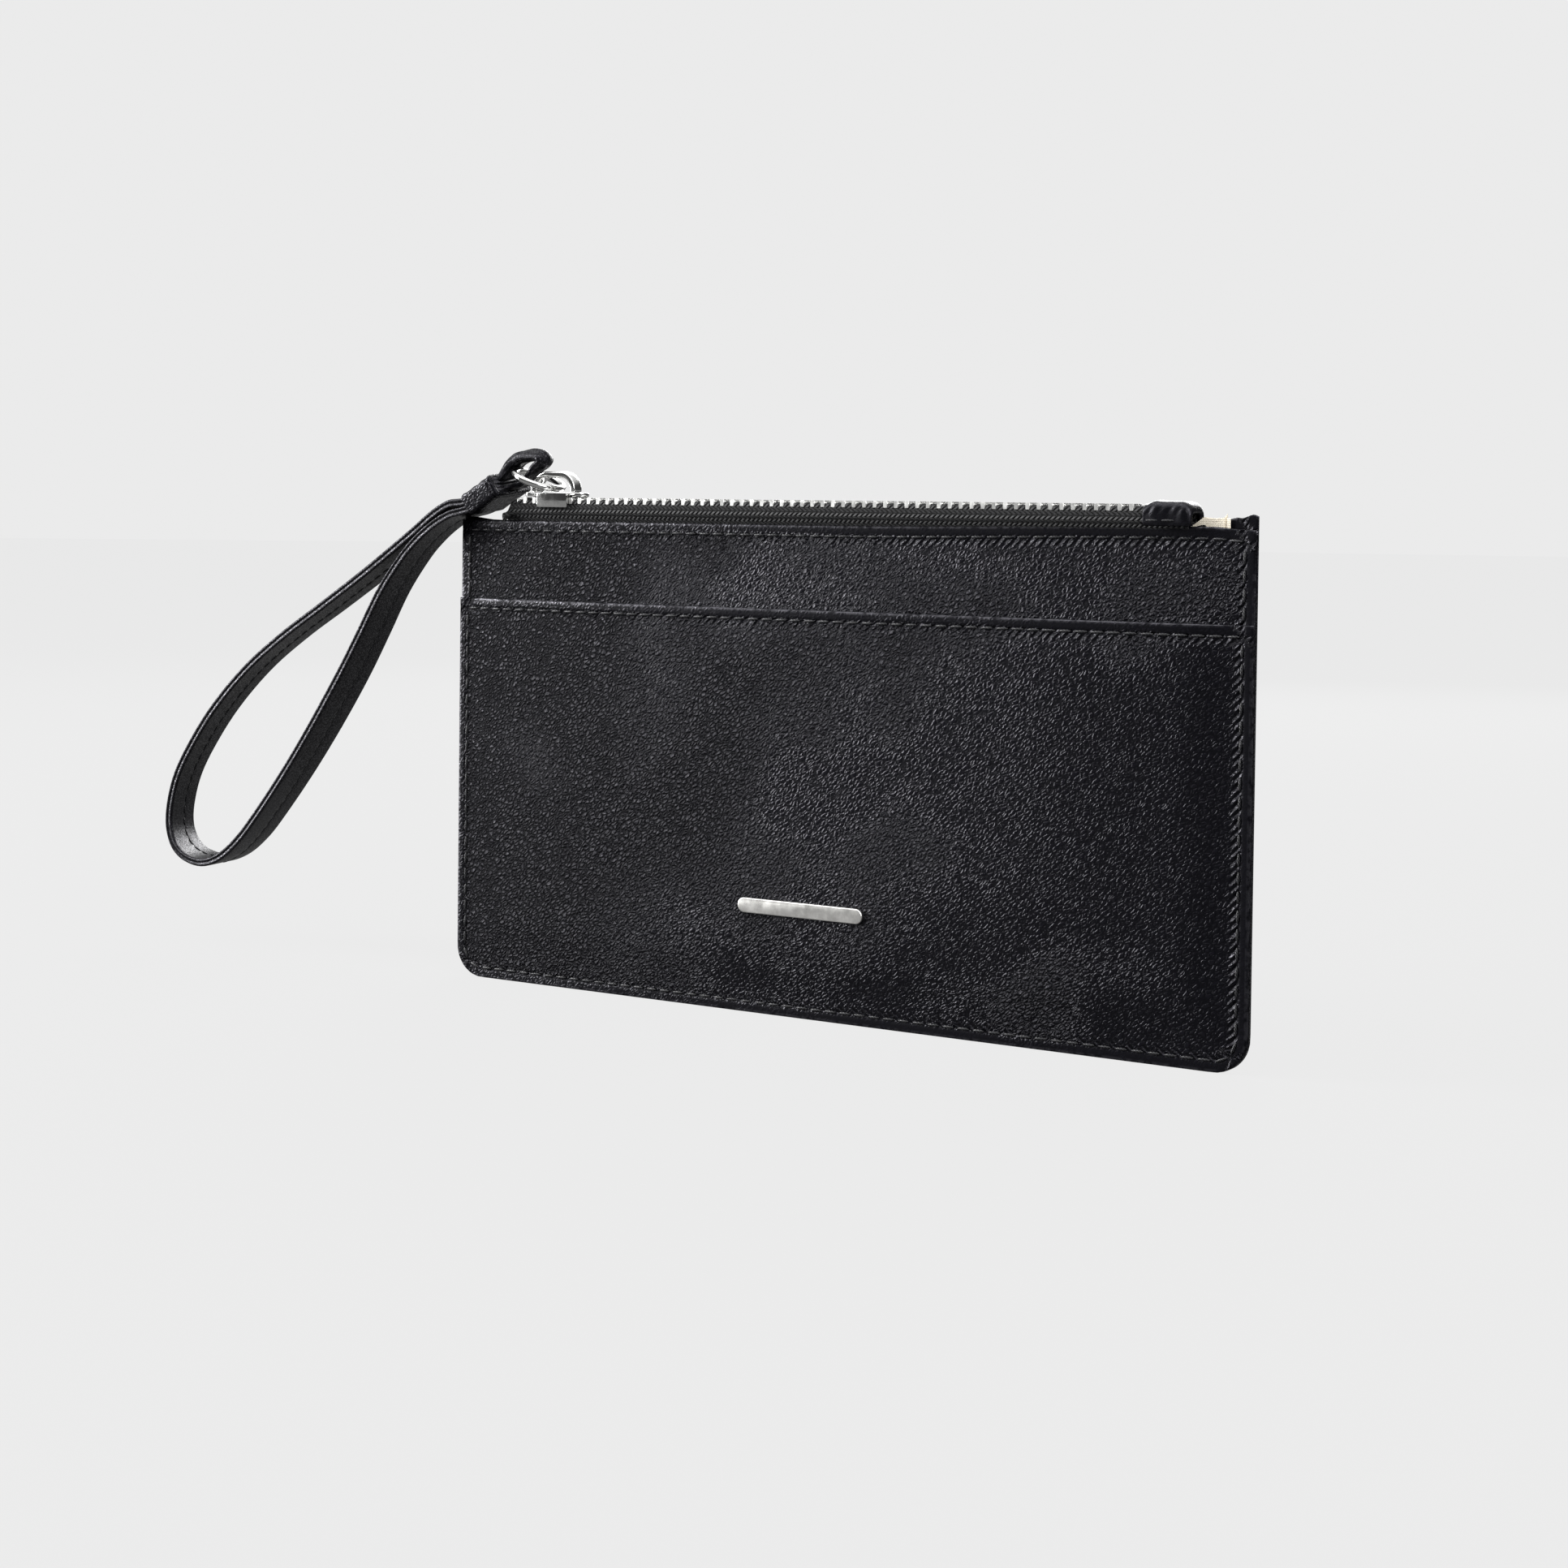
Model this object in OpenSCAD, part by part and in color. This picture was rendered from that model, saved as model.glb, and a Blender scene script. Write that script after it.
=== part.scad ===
// Flat zip pouch with a slip pocket, card slots and a wrist strap.
// +X to the right seen from the front, the front faces -Y, +Z up.
// Origin: middle of the bottom edge, in the zip's centre plane. Millimetres.

/* [Pouch] */
// Width of the pouch
pouch_w = 195; // [150:1:230]
// Height of the two large panels
pouch_h = 104.2; // [85:0.1:140]
// Radius of the two bottom corners
corner_r = 7; // [3:0.5:12]
// Thickness of the panel leather
leather_t = 0.8; // [0.6:0.05:1.2]
// Thickness of the lining cloth
lining_t = 0.2; // [0.1:0.05:0.4]
// Empty space between the two linings
inside_gap = 0.6; // [0.4:0.1:3]

/* [Slip pocket] */
// Drop from the pouch's top edge to the slip pocket's
pocket_drop = 17.8; // [11:0.1:40]

/* [Card slots] */
// Drop from the pouch's top edge to the highest card slot's
slot_first = 9.4; // [9.4:0.1:20]
// Drop from one card slot's edge to the next
slot_drop = 12.7; // [10:0.1:15]
// How far a strip tucks in behind the one below it
slot_tuck = 3; // [2:0.5:6]
// Gap from the strips' ends to the pouch's side edges
slot_side = 0.6; // [0.2:0.1:3]

/* [Zip] */
// Distance from one tooth to the next on the same tape
tooth_pitch = 2.54; // [2:0.02:3.2]
// Distance from the pouch's left edge to the first tooth
zip_left = 19.9; // [17:0.1:19.9]
// Least distance from the last tooth to the pouch's right edge
zip_right = 25.2; // [16:0.1:40]
// Half width of the closed chain
chain_half = 2.9; // [2.6:0.1:3.4]
// Half width of the gap that the slider's post runs in
chain_gap = 0.75; // [0.7:0.05:0.9]
// Height of the chain's underside above the front panel's edge
chain_rise = 3; // [2.8:0.1:5]
// Thickness of the chain
chain_t = 2; // [1.6:0.1:2.4]
// Thickness of the zip tape
tape_t = 0.4; // [0.3:0.05:0.5]

/* [Slider] */
// Length of the slider's top plate
slider_l = 15; // [13:0.5:17]
// Thickness of the top plate
plate_t = 0.9; // [0.8:0.1:1.2]
// Height of the bail above the top plate
bail_h = 4.7; // [4.4:0.1:6]
// Width of the bail's band
bail_w = 3; // [2:0.1:3.4]

/* [Ring] */
// Radius of the ring's centre line
ring_r = 5.6; // [5.4:0.1:6]
// Radius of the ring's wire
wire_r = 0.75; // [0.6:0.05:0.8]
// Tilt of the ring, its far side up
ring_tilt = 20; // [18:0.5:24]

/* [Wrist strap] */
// Width of the strap
strap_w = 12; // [9:0.5:15]
// Thickness of the strap, both plies together
strap_t = 1.8; // [1.4:0.1:2]
// Free space between the bunched eye's edges and the ring's wire
eye_gap = 0.35; // [0.2:0.05:1.2]
// How far into the ring's hole the eye passes, where its width is measured
eye_depth = 1.9; // [1.6:0.1:2.6]
// Thickness of the eye
eye_t = 1.5; // [1.2:0.1:1.6]
// Length of the keeper along the strap
keeper_l = 9.6; // [8:0.1:10]
// Thickness of the keeper's band
keeper_t = 0.75; // [0.5:0.05:1]

/* [Badge] */
// Length of the metal bar
badge_l = 31; // [20:1:60]
// Height of the metal bar
badge_h = 3.2; // [2:0.1:6]
// Place of the bar's middle above the bottom edge
badge_z = 23.3; // [15:0.1:40]

/* [Stitches] */
// Distance from one stitch to the next
stitch_pitch = 3.5; // [2.5:0.1:5]
// Length of one stitch
stitch_l = 2.6; // [1.5:0.1:4]
// Width of the thread
thread_w = 0.5; // [0.3:0.05:0.7]
// Distance of the seams from the edges
seam_in = 2.3; // [1.5:0.1:3]

/* [Hidden] */

$fn = 48;
thread_t = thread_w * 0.4;
half_w = pouch_w / 2;
pocket_h = pouch_h - pocket_drop;
slot_top = pouch_h - slot_first;

// layers from the zip's centre plane outwards
lining_in = inside_gap / 2;
panel_in = lining_in + lining_t;
panel_out = panel_in + leather_t;
pocket_in = panel_out + lining_t;
pocket_out = pocket_in + leather_t;
slot_in = panel_out + lining_t;
slot_t = leather_t * 0.75;

// zip, from the panels' top edge upwards
chain_z = pouch_h + chain_rise;
chain_top = chain_z + chain_t;
chain_x0 = zip_left - half_w;
teeth = floor((pouch_w - zip_left - zip_right) / tooth_pitch) + 1;
chain_x1 = chain_x0 + (teeth - 1) * tooth_pitch;
tooth_w = tooth_pitch * 0.52;
tape_foot = pouch_h - 9;
tape_x0 = chain_x0 - 6.4;
stop_l = 1.6;
stop_x = chain_x0 - 1.8;
tab_gap = 0.05;
tab_t = 0.75;
tab_x0 = chain_x1 + 2.6;
tab_l = 10.2;
tape_x1 = tab_x0 + tab_l - tab_t - 0.2;
tab_z0 = pouch_h + 0.8;
tab_in = chain_half + tab_gap;
tab_out = tab_in + tab_t;
tab_top = chain_top + tab_gap + tab_t;

// slider, above and below the closed chain
run = 0.35;
plate_z = chain_top + run;
plate_top = plate_z + plate_t;
slider_x = chain_x0 + 7.6;
flange_x = slider_x + 0.6;
flange_l = 8.4;
flange_t = 0.8;
flange_in = chain_half + run;
plate_half = flange_in + 0.45;
flange_z = chain_z;
post_l = 3.2;
post_half = chain_gap - 0.3;
lower_t = 0.7;
lower_half = chain_half - 1.4;
lower_z = chain_z - 0.3 - lower_t;
bail_x = slider_x - 1;
bail_l = 12;
bail_t = 1.4;
bail_r = 4;

// ring, hung in the bail by the wire at its right
ring_x = bail_x + 0.1;
ring_z = plate_top + 0.15 + wire_r;
ring_far_x = ring_x - 2 * ring_r * cos(ring_tilt);
ring_far_z = ring_z + 2 * ring_r * sin(ring_tilt);

// strap: places are measured from the ring's far wire
keeper_x = ring_far_x - 6.9;
keeper_z = ring_far_z - 4.9;
keeper_turn = 30;
hole_r = ring_r - wire_r;
eye_chord = sqrt(hole_r * hole_r - (hole_r - eye_depth) * (hole_r - eye_depth));
eye_w = 2 * (eye_chord - eye_gap);
ply_t = strap_t / 2;
strap_gap = 0.02;
strand_gap = 0.1;
EYE_ROUTE = [[-1.9, 1.1], [0.6, 2.9], [3.4, 3.85], [5.1, 4.05], [6.5, 3.85], [7.5, 3.1],
    [7.6, 1.95], [6.7, 1.1], [5.1, 0.3], [2.9, -1.5], [0.8, -2.9]];
LOOP_ROUTE = [[-17.0, -7.6], [-21.8, -9.9], [-28.6, -14.6], [-41.9, -23.4], [-55.4, -31.7],
    [-67.9, -39.2], [-79.4, -47.2], [-89.6, -56.5], [-97.4, -65.8], [-103.3, -75.2],
    [-105.8, -84.4], [-104.7, -90.4], [-100.6, -94.0], [-94.1, -95.2], [-87.6, -93.2],
    [-81.4, -88.6], [-75.4, -82.2], [-67.6, -72.9], [-60.6, -63.8], [-54.1, -54.7],
    [-48.2, -45.9], [-42.8, -37.1], [-37.2, -27.8], [-31.0, -20.0], [-26.4, -15.6],
    [-21.6, -12.2], [-16.8, -9.9]];

function along(p, a, l) = [p[0] + l * cos(a), p[1] + l * sin(a)];
function spline(a, b, c, d, t) = 0.5 * ((2 * b) + (c - a) * t + (2 * a - 5 * b + 4 * c - d) * t * t
    + (3 * b - a - 3 * c + d) * t * t * t);
function curve(p, n) = [for (i = [1 : len(p) - 3]) for (k = [0 : n - 1])
    spline(p[i - 1], p[i], p[i + 1], p[i + 2], k / n), p[len(p) - 2]];
function normal(p, i) = let (a = p[max(i - 1, 0)], b = p[min(i + 1, len(p) - 1)], d = b - a)
    [-d[1], d[0]] / norm(d);
function shifted(p, d) = [for (i = [0 : len(p) - 1]) p[i] + d * normal(p, i)];
function reversed(p) = [for (i = [len(p) - 1 : -1 : 0]) p[i]];
function steps(l) = max(1, floor(l / stitch_pitch));

// keeper corners: side is 1 for the upper strand and -1 for the lower, end is 1 at the ring
strand = strap_t / 2 + strand_gap / 2;
function keeper_at(end, side, extra) = along(along([keeper_x, keeper_z], keeper_turn,
    end * (keeper_l / 2 + extra)), keeper_turn + 90, side * strand);
function from_ring(route) = [for (q = route) [ring_far_x + q[0], ring_far_z + q[1]]];
loop_bend = curve(concat([keeper_at(1, 1, 0), keeper_at(-1, 1, 0)], from_ring(LOOP_ROUTE),
    [keeper_at(-1, -1, 0), keeper_at(1, -1, 0)]), 4);
loop_line = concat([keeper_at(1, 1, 0)], loop_bend, [keeper_at(1, -1, 0)]);
eye_line = curve(concat([keeper_at(-1, 1, 0), keeper_at(1, 1, 0.2)], from_ring(EYE_ROUTE),
    [keeper_at(1, -1, 0.2), keeper_at(-1, -1, 0)]), 5);
outer_thread = [for (i = [3 : len(loop_bend) - 4]) loop_bend[i]];
inner_thread = [for (i = [14 : len(loop_bend) - 17]) loop_bend[i]];

// height of the card slots' outer surface at z, measured from the zip's centre plane
function slot_face(z) = z > slot_top ? panel_out
    : let (k = min(floor((slot_top - z) / slot_drop), 3), zk = slot_top - k * slot_drop)
    slot_in + slot_t * (2 - min((zk - z) / slot_drop, 1));

// a slab between two depths, from an outline drawn in X and Z
module slab(y0, y1) {
    translate([0, y1, 0]) rotate([90, 0, 0]) linear_extrude(y1 - y0) children();
}

// a bar along X, from an outline drawn in Y and Z
module run_along(x0, x1) {
    translate([x0, 0, 0]) rotate([90, 0, 90]) linear_extrude(x1 - x0) children();
}

module span(x0, x1, y0, y1, z0, z1) {
    translate([x0, y0, z0]) cube([x1 - x0, y1 - y0, z1 - z0]);
}

// panel outline with round bottom corners, inset all round
module outline(h, inset) {
    r = corner_r - inset;
    w = half_w - inset;
    translate([-w, inset + r]) square([2 * w, h - inset - r]);
    translate([-w + r, inset]) square([2 * (w - r), r + 1]);
    for (s = [-1, 1]) translate([s * (w - r), inset + r]) circle(r);
}

// rectangle standing on Z = z, with round upper corners
module arch(w, h, r, z) {
    translate([-w / 2, z]) intersection() {
        square([w, h]);
        union() {
            square([w, h - r]);
            translate([r, 0]) square([w - 2 * r, h]);
            for (x = [r, w - r]) translate([x, h - r]) circle(r);
        }
    }
}

// a band of even thickness along a line, between two offsets
module band(line, d0, d1) {
    polygon(concat(shifted(line, d0), reversed(shifted(line, d1))));
}

// a straight row of stitches along X that lies on the depth y, growing outwards
module stitch_row(x0, x1, y, out, z) {
    n = steps(x1 - x0);
    step = (x1 - x0) / n;
    for (i = [0 : n - 1])
        span(x0 + (i + 0.5) * step - stitch_l / 2, x0 + (i + 0.5) * step + stitch_l / 2,
            min(y, y + out * thread_t), max(y, y + out * thread_t), z - thread_w / 2, z + thread_w / 2);
}

// an upright column of stitches at x on the front
module stitch_column(x, y, z0, z1) {
    n = steps(z1 - z0);
    step = (z1 - z0) / n;
    for (i = [0 : n - 1])
        span(x - thread_w / 2, x + thread_w / 2, y - thread_t, y,
            z0 + (i + 0.5) * step - stitch_l / 2, z0 + (i + 0.5) * step + stitch_l / 2);
}

// an upright column of stitches at x on the back, over the card slots
module slot_column(x, z0, z1) {
    n = steps(z1 - z0);
    step = (z1 - z0) / n;
    for (i = [0 : n - 1]) {
        za = z0 + (i + 0.5) * step - stitch_l / 2;
        y = max([for (k = [0 : 8]) slot_face(za + stitch_l * k / 8)]) + strap_gap;
        span(x - thread_w / 2, x + thread_w / 2, y, y + thread_t, za, za + stitch_l);
    }
}

// stitches round the two bottom corners, from a depth outwards
module corner_stitches(y0, y1) {
    for (s = [-1, 1]) for (a = [22.5, 67.5])
        translate([s * (half_w - corner_r), 0, corner_r]) rotate([0, s * (90 - a) + 180 - s * 90, 0])
            translate([-stitch_l / 2, y0, corner_r - seam_in - thread_w / 2])
            cube([stitch_l, y1 - y0, thread_w]);
}

module front_panel() {
    color("#26262b") slab(-panel_out, -panel_in) outline(pouch_h, 0);
}

module back_panel() {
    color("#26262b") slab(panel_in, panel_out) outline(pouch_h, 0);
}

// strip of leather sewn in between the two sides and along the bottom
module seam_core() {
    core_w = 3.6;
    color("#26262b") slab(-lining_in, lining_in) difference() {
        outline(tape_foot - 3, 0);
        outline(pouch_h, core_w);
    }
}

// lining cloth, cut away where the zip tape is sewn in
module lining(y0, y1, h) {
    color("ivory") slab(y0, y1) difference() {
        outline(h - 1, 1);
        translate([tape_x0 - 0.5, tape_foot]) square([tape_x1 - tape_x0 + 1, h]);
    }
}

module front_lining() {
    lining(-panel_in, -lining_in, pouch_h);
}

module back_lining() {
    lining(lining_in, panel_in, pouch_h);
}

badge_x = -2.9;
badge_t = 0.8;
prong_at = badge_l / 3;
prong_w = 1.2;
prong_h = 0.6;
washer_w = 4;
washer_h = 3;
washer_gap = 0.1;

module pocket_panel() {
    color("#26262b") difference() {
        slab(-pocket_out, -pocket_in) outline(pocket_h, 0);
        for (s = [-1, 1]) prong(s, 0.05, 1);
    }
}

module pocket_lining() {
    color("ivory") slab(-pocket_in, -panel_out) difference() {
        outline(pocket_h - 2, 1);
        for (s = [-1, 1]) translate([badge_x + s * prong_at, badge_z])
            square([washer_w + 2 * washer_gap, washer_h + 2 * washer_gap], center = true);
    }
}

module slot_lining() {
    color("ivory") slab(panel_out, slot_in) outline(slot_top - slot_tuck, slot_side + 0.4);
}

// one strip of the stacked card slots; k counts from the top
module card_slot(k) {
    zk = slot_top - k * slot_drop;
    zn = zk - slot_drop;
    zt = k < 3 ? zn - slot_tuck : 0;
    tail = k < 3 ? slot_in + slot_t * (1 - slot_tuck / slot_drop) - strap_gap : slot_in + slot_t;
    color("#2a2a2f") intersection() {
        run_along(-half_w, half_w) polygon([[slot_in + slot_t, zk], [slot_in + 2 * slot_t, zk],
            [slot_in + slot_t - strap_gap, zn], [tail, zt], [slot_in, zt], [slot_in, zn]]);
        slab(0, slot_in + 3 * slot_t) outline(pouch_h, slot_side);
    }
}

module card_slot_1() { card_slot(0); }
module card_slot_2() { card_slot(1); }
module card_slot_3() { card_slot(2); }
module card_slot_4() { card_slot(3); }

// zip tape: sewn inside the panel's edge, then flared out to the chain
module zip_tape(side) {
    z0 = pouch_h + 0.1;
    bend = 0.16;
    lip = 0.6;
    color("#141416") difference() {
        mirror([0, side > 0 ? 0 : 1, 0]) run_along(tape_x0, tape_x1)
            polygon([[panel_in, tape_foot], [panel_in, z0], [chain_half, chain_z - lip],
                [chain_half, chain_z], [chain_half - tape_t, chain_z],
                [chain_half - tape_t, chain_z - lip + bend], [panel_in - tape_t, z0 + bend],
                [panel_in - tape_t, tape_foot]]);
        slab(-chain_half - 1, chain_half + 1)
            polygon([[tape_x0 - 1, z0], [tape_x0, z0], [tape_x0 + 3.2, chain_z + 0.5],
                [tape_x0 - 1, chain_z + 0.5]]);
    }
}

module zip_tape_front() { zip_tape(-1); }
module zip_tape_back() { zip_tape(1); }

// one row of teeth; the back row sits half a pitch along
module tooth_row(side) {
    color("silver") for (i = [0 : teeth - 1]) {
        x = chain_x0 + (i + (side > 0 ? 0.5 : 0)) * tooth_pitch;
        mirror([0, side > 0 ? 0 : 1, 0])
            span(x - tooth_w / 2, x + tooth_w / 2, chain_gap, chain_half, chain_z, chain_top);
    }
}

module zip_teeth_front() { tooth_row(-1); }
module zip_teeth_back() { tooth_row(1); }

module zip_top_stops() {
    color("silver") for (s = [0, 1]) mirror([0, s, 0])
        span(stop_x - stop_l / 2, stop_x + stop_l / 2, chain_gap, chain_half, chain_z, chain_top);
}

module zip_bottom_stop() {
    color("silver") span(tab_x0 + 0.6, tab_x0 + 3.1, -chain_half, chain_half, chain_z, chain_top - 0.2);
}

// leather tab folded over the zip's right end
module zip_end_tab() {
    color("#26262b") {
        run_along(tab_x0, tab_x0 + tab_l - tab_t) difference() {
            arch(2 * tab_out, tab_top - tab_z0, 1.2, tab_z0);
            translate([-tab_in, tab_z0 - 1]) square([2 * tab_in, chain_top + tab_gap - tab_z0 + 1]);
        }
        run_along(tab_x0 + tab_l - tab_t, tab_x0 + tab_l) arch(2 * tab_out, tab_top - tab_z0, 1.2, tab_z0);
    }
}

module end_tab_stitch() {
    color("#101012") {
        stitch_row(tab_x0 + 0.5, tab_x0 + tab_l - 0.5, -tab_out, -1, tab_z0 + 1.2);
        stitch_row(tab_x0 + 0.5, tab_x0 + tab_l - 0.5, tab_out, 1, tab_z0 + 1.2);
    }
}

module top_stitch_front() {
    color("#101012") stitch_row(seam_in - half_w, half_w - seam_in, -panel_out, -1, pouch_h - seam_in);
}

module top_stitch_back() {
    color("#101012") stitch_row(seam_in - half_w, half_w - seam_in, panel_out, 1, pouch_h - seam_in);
}

module pocket_stitch() {
    color("#101012") stitch_row(seam_in - half_w, half_w - seam_in, -pocket_out, -1, pocket_h - seam_in);
}

module side_stitch_front() {
    color("#101012") {
        for (s = [-1, 1]) {
            stitch_column(s * (half_w - seam_in), -pocket_out, corner_r, pocket_h - seam_in - 1);
            stitch_column(s * (half_w - seam_in), -panel_out, pocket_h + 0.3, pouch_h - seam_in - 1);
        }
        stitch_row(corner_r - half_w, half_w - corner_r, -pocket_out, -1, seam_in);
        corner_stitches(-pocket_out - thread_t, -pocket_out);
    }
}

module side_stitch_back() {
    y = slot_in + slot_t + strap_gap;
    color("#101012") {
        for (s = [-1, 1]) slot_column(s * (half_w - seam_in), corner_r, pouch_h - seam_in - 1);
        stitch_row(corner_r - half_w, half_w - corner_r, y, 1, seam_in);
        corner_stitches(y, y + thread_t);
    }
}

// seam along each card slot's edge, and the one that parts them into two columns
module slot_stitch() {
    edge_in = 1.6;
    color("#101012") {
        for (k = [0 : 3]) for (s = [0, 1]) mirror([s, 0, 0]) {
            z = slot_top - k * slot_drop - edge_in;
            stitch_row(2, half_w - seam_in - 1.5, slot_face(z + thread_w / 2) + strap_gap, 1, z);
        }
        slot_column(0, seam_in + 1.5, slot_top - 0.5);
    }
}

// tab of the badge that goes through the pocket leather
module prong(s, gap, over) {
    span(badge_x + s * prong_at - prong_w / 2 - gap, badge_x + s * prong_at + prong_w / 2 + gap,
        -pocket_out - over, -pocket_in + over, badge_z - prong_h / 2 - gap, badge_z + prong_h / 2 + gap);
}

module badge_bar() {
    r = badge_h / 2;
    color("silver") {
        slab(-pocket_out - badge_t, -pocket_out) translate([badge_x, badge_z]) {
            square([badge_l - badge_h, badge_h], center = true);
            for (s = [-1, 1]) translate([s * (badge_l / 2 - r), 0]) circle(r);
        }
        for (s = [-1, 1]) prong(s, 0, 0);
    }
}

module badge_washers() {
    color("silver") slab(-pocket_in, -panel_out) for (s = [-1, 1])
        translate([badge_x + s * prong_at, badge_z]) square([washer_w, washer_h], center = true);
}

// top plate with a narrow nose, two flanges over the chain, and a post to the lower plate
module slider_body() {
    nose_l = 4;
    nose_half = 2;
    x0 = slider_x - slider_l / 2;
    x1 = slider_x + slider_l / 2;
    color("silver") {
        translate([0, 0, plate_z]) linear_extrude(plate_t) {
            translate([x0 + 1.2, -plate_half]) square([slider_l - nose_l - 1.2, 2 * plate_half]);
            translate([x0, 1.2 - plate_half]) square([slider_l - nose_l, 2 * plate_half - 2.4]);
            for (s = [-1, 1]) translate([x0 + 1.2, s * (plate_half - 1.2)]) circle(1.2);
            translate([x0 + 1, -nose_half]) square([slider_l - 1 - nose_half, 2 * nose_half]);
            translate([x1 - nose_half, 0]) circle(nose_half);
        }
        for (s = [0, 1]) mirror([0, s, 0])
            span(flange_x - flange_l / 2, flange_x + flange_l / 2, flange_in, flange_in + flange_t,
                flange_z, plate_top);
        span(x0 + 0.4, x0 + 0.4 + post_l, -post_half, post_half, lower_z, plate_z + 0.1);
        span(x0 + 0.4, x1 - 2, -lower_half, lower_half, lower_z, lower_z + lower_t);
    }
}

module slider_bail() {
    color("silver") slab(-bail_w / 2, bail_w / 2) translate([bail_x, 0]) difference() {
        arch(bail_l, bail_h, bail_r, plate_top);
        arch(bail_l - 2 * bail_t, bail_h - bail_t, bail_r - bail_t, plate_top);
    }
}

module pull_ring() {
    color("silver") translate([(ring_x + ring_far_x) / 2, 0, (ring_z + ring_far_z) / 2])
        rotate([0, ring_tilt, 0]) rotate_extrude() translate([ring_r, 0]) circle(wire_r);
}

module strap_eye() {
    color("#202024") slab(-eye_w / 2, eye_w / 2) band(eye_line, -eye_t / 2, eye_t / 2);
}

module strap_outer_ply() {
    color("#202024") slab(-strap_w / 2, strap_w / 2) band(loop_line, -ply_t, 0);
}

module strap_inner_ply() {
    color("#202024") slab(-strap_w / 2, strap_w / 2) band(loop_line, 0, ply_t);
}

module strap_keeper() {
    hole_h = 2 * strap_t + strand_gap + 2 * strap_gap;
    hole_w = strap_w + 2 * strap_gap;
    color("#202024") translate([keeper_x, 0, keeper_z]) rotate([0, -keeper_turn, 0]) difference() {
        cube([keeper_l, hole_w + 2 * keeper_t, hole_h + 2 * keeper_t], center = true);
        cube([keeper_l + 1, hole_w, hole_h], center = true);
    }
}

// the strap's one seam, seen on both faces
module strap_stitch() {
    seam_y = strap_w * 0.07;
    color("#101012") slab(seam_y - thread_w / 2, seam_y + thread_w / 2) {
        band(outer_thread, -ply_t - thread_t, -ply_t);
        band(inner_thread, ply_t, ply_t + thread_t);
    }
}

front_panel();
back_panel();
seam_core();
front_lining();
back_lining();
pocket_panel();
pocket_lining();
slot_lining();
card_slot_1();
card_slot_2();
card_slot_3();
card_slot_4();
zip_tape_front();
zip_tape_back();
zip_teeth_front();
zip_teeth_back();
zip_top_stops();
zip_bottom_stop();
zip_end_tab();
end_tab_stitch();
top_stitch_front();
top_stitch_back();
pocket_stitch();
side_stitch_front();
side_stitch_back();
slot_stitch();
badge_bar();
badge_washers();
slider_body();
slider_bail();
pull_ring();
strap_eye();
strap_outer_ply();
strap_inner_ply();
strap_keeper();
strap_stitch();
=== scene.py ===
import math

import bmesh
import bpy
import numpy as np
from mathutils import Matrix, Vector


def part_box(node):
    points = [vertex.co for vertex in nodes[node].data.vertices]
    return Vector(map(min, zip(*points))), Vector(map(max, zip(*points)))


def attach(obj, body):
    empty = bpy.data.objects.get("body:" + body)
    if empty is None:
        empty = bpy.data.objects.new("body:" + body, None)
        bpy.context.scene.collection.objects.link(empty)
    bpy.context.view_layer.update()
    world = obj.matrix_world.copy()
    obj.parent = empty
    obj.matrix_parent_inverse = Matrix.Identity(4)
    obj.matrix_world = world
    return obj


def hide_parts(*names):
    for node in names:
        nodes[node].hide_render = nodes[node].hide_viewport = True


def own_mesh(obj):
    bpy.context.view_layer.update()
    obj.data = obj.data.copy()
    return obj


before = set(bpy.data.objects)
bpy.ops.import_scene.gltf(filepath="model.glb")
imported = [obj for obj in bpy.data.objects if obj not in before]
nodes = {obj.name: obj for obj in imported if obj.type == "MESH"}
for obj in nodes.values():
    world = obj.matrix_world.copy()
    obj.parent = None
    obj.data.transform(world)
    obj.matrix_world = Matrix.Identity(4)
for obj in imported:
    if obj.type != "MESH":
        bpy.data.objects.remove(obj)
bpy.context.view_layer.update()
mm = 0.001


# sizes shared by the pieces, in millimetres, read off the frame
def span(nodeName):
    low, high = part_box(nodeName)
    return np.array(low) / mm, np.array(high) / mm


panelHigh = span("front_panel")[1]
pocketLow, pocketHigh = span("pocket_panel")
chainLow = span("zip_teeth_front")[0]
tapeLow, tapeHigh = span("zip_tape_front")
tabLow, tabHigh = span("zip_end_tab")
ringLow, ringHigh = span("pull_ring")

pouch = {
    "halfWidth": panelHigh[0],  # half the pouch's width
    "height": panelHigh[2],  # top edge of the large panels
    "pocketHeight": pocketHigh[2],  # top edge of the slip pocket
    "cornerRadius": 7.0,  # the two bottom corners
    "seamInset": 2.3,  # seams to the edges
    "pinch": 0.60,  # how thin the sewn edges press together
    "frontBulge": 1.1,  # slack in the front
    "backBulge": 0.7,  # slack in the back
    "cornerLift": 3.0,  # how far the back's right top corner stands up
    "frontLift": 0.9,  # how far the front's top edge rises towards the right
}


def smooth(low, high, value):
    t = np.clip((value - low) / (high - low), 0, 1)
    return t * t * (3 - 2 * t)


drape = {
    "pressed": (2.0, 15.0),  # pressed thin up to here from the edge, free of it from there
    "slackFromSide": (3, 48),  # where the slack starts, and where it is full
    "slackFromBottom": (2, 32),
    "slackEnds": (78, 101),  # heights between which it goes again, under the mouth
    "rightCorner": (60, 86, 89, 94),  # the back's top edge starts up, rests, rises again, stands
    "leftRise": 0.7,  # how far the back stands up at the left end
    "lump": 0.35,  # height of the fold in the back's standing corner
}


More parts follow.
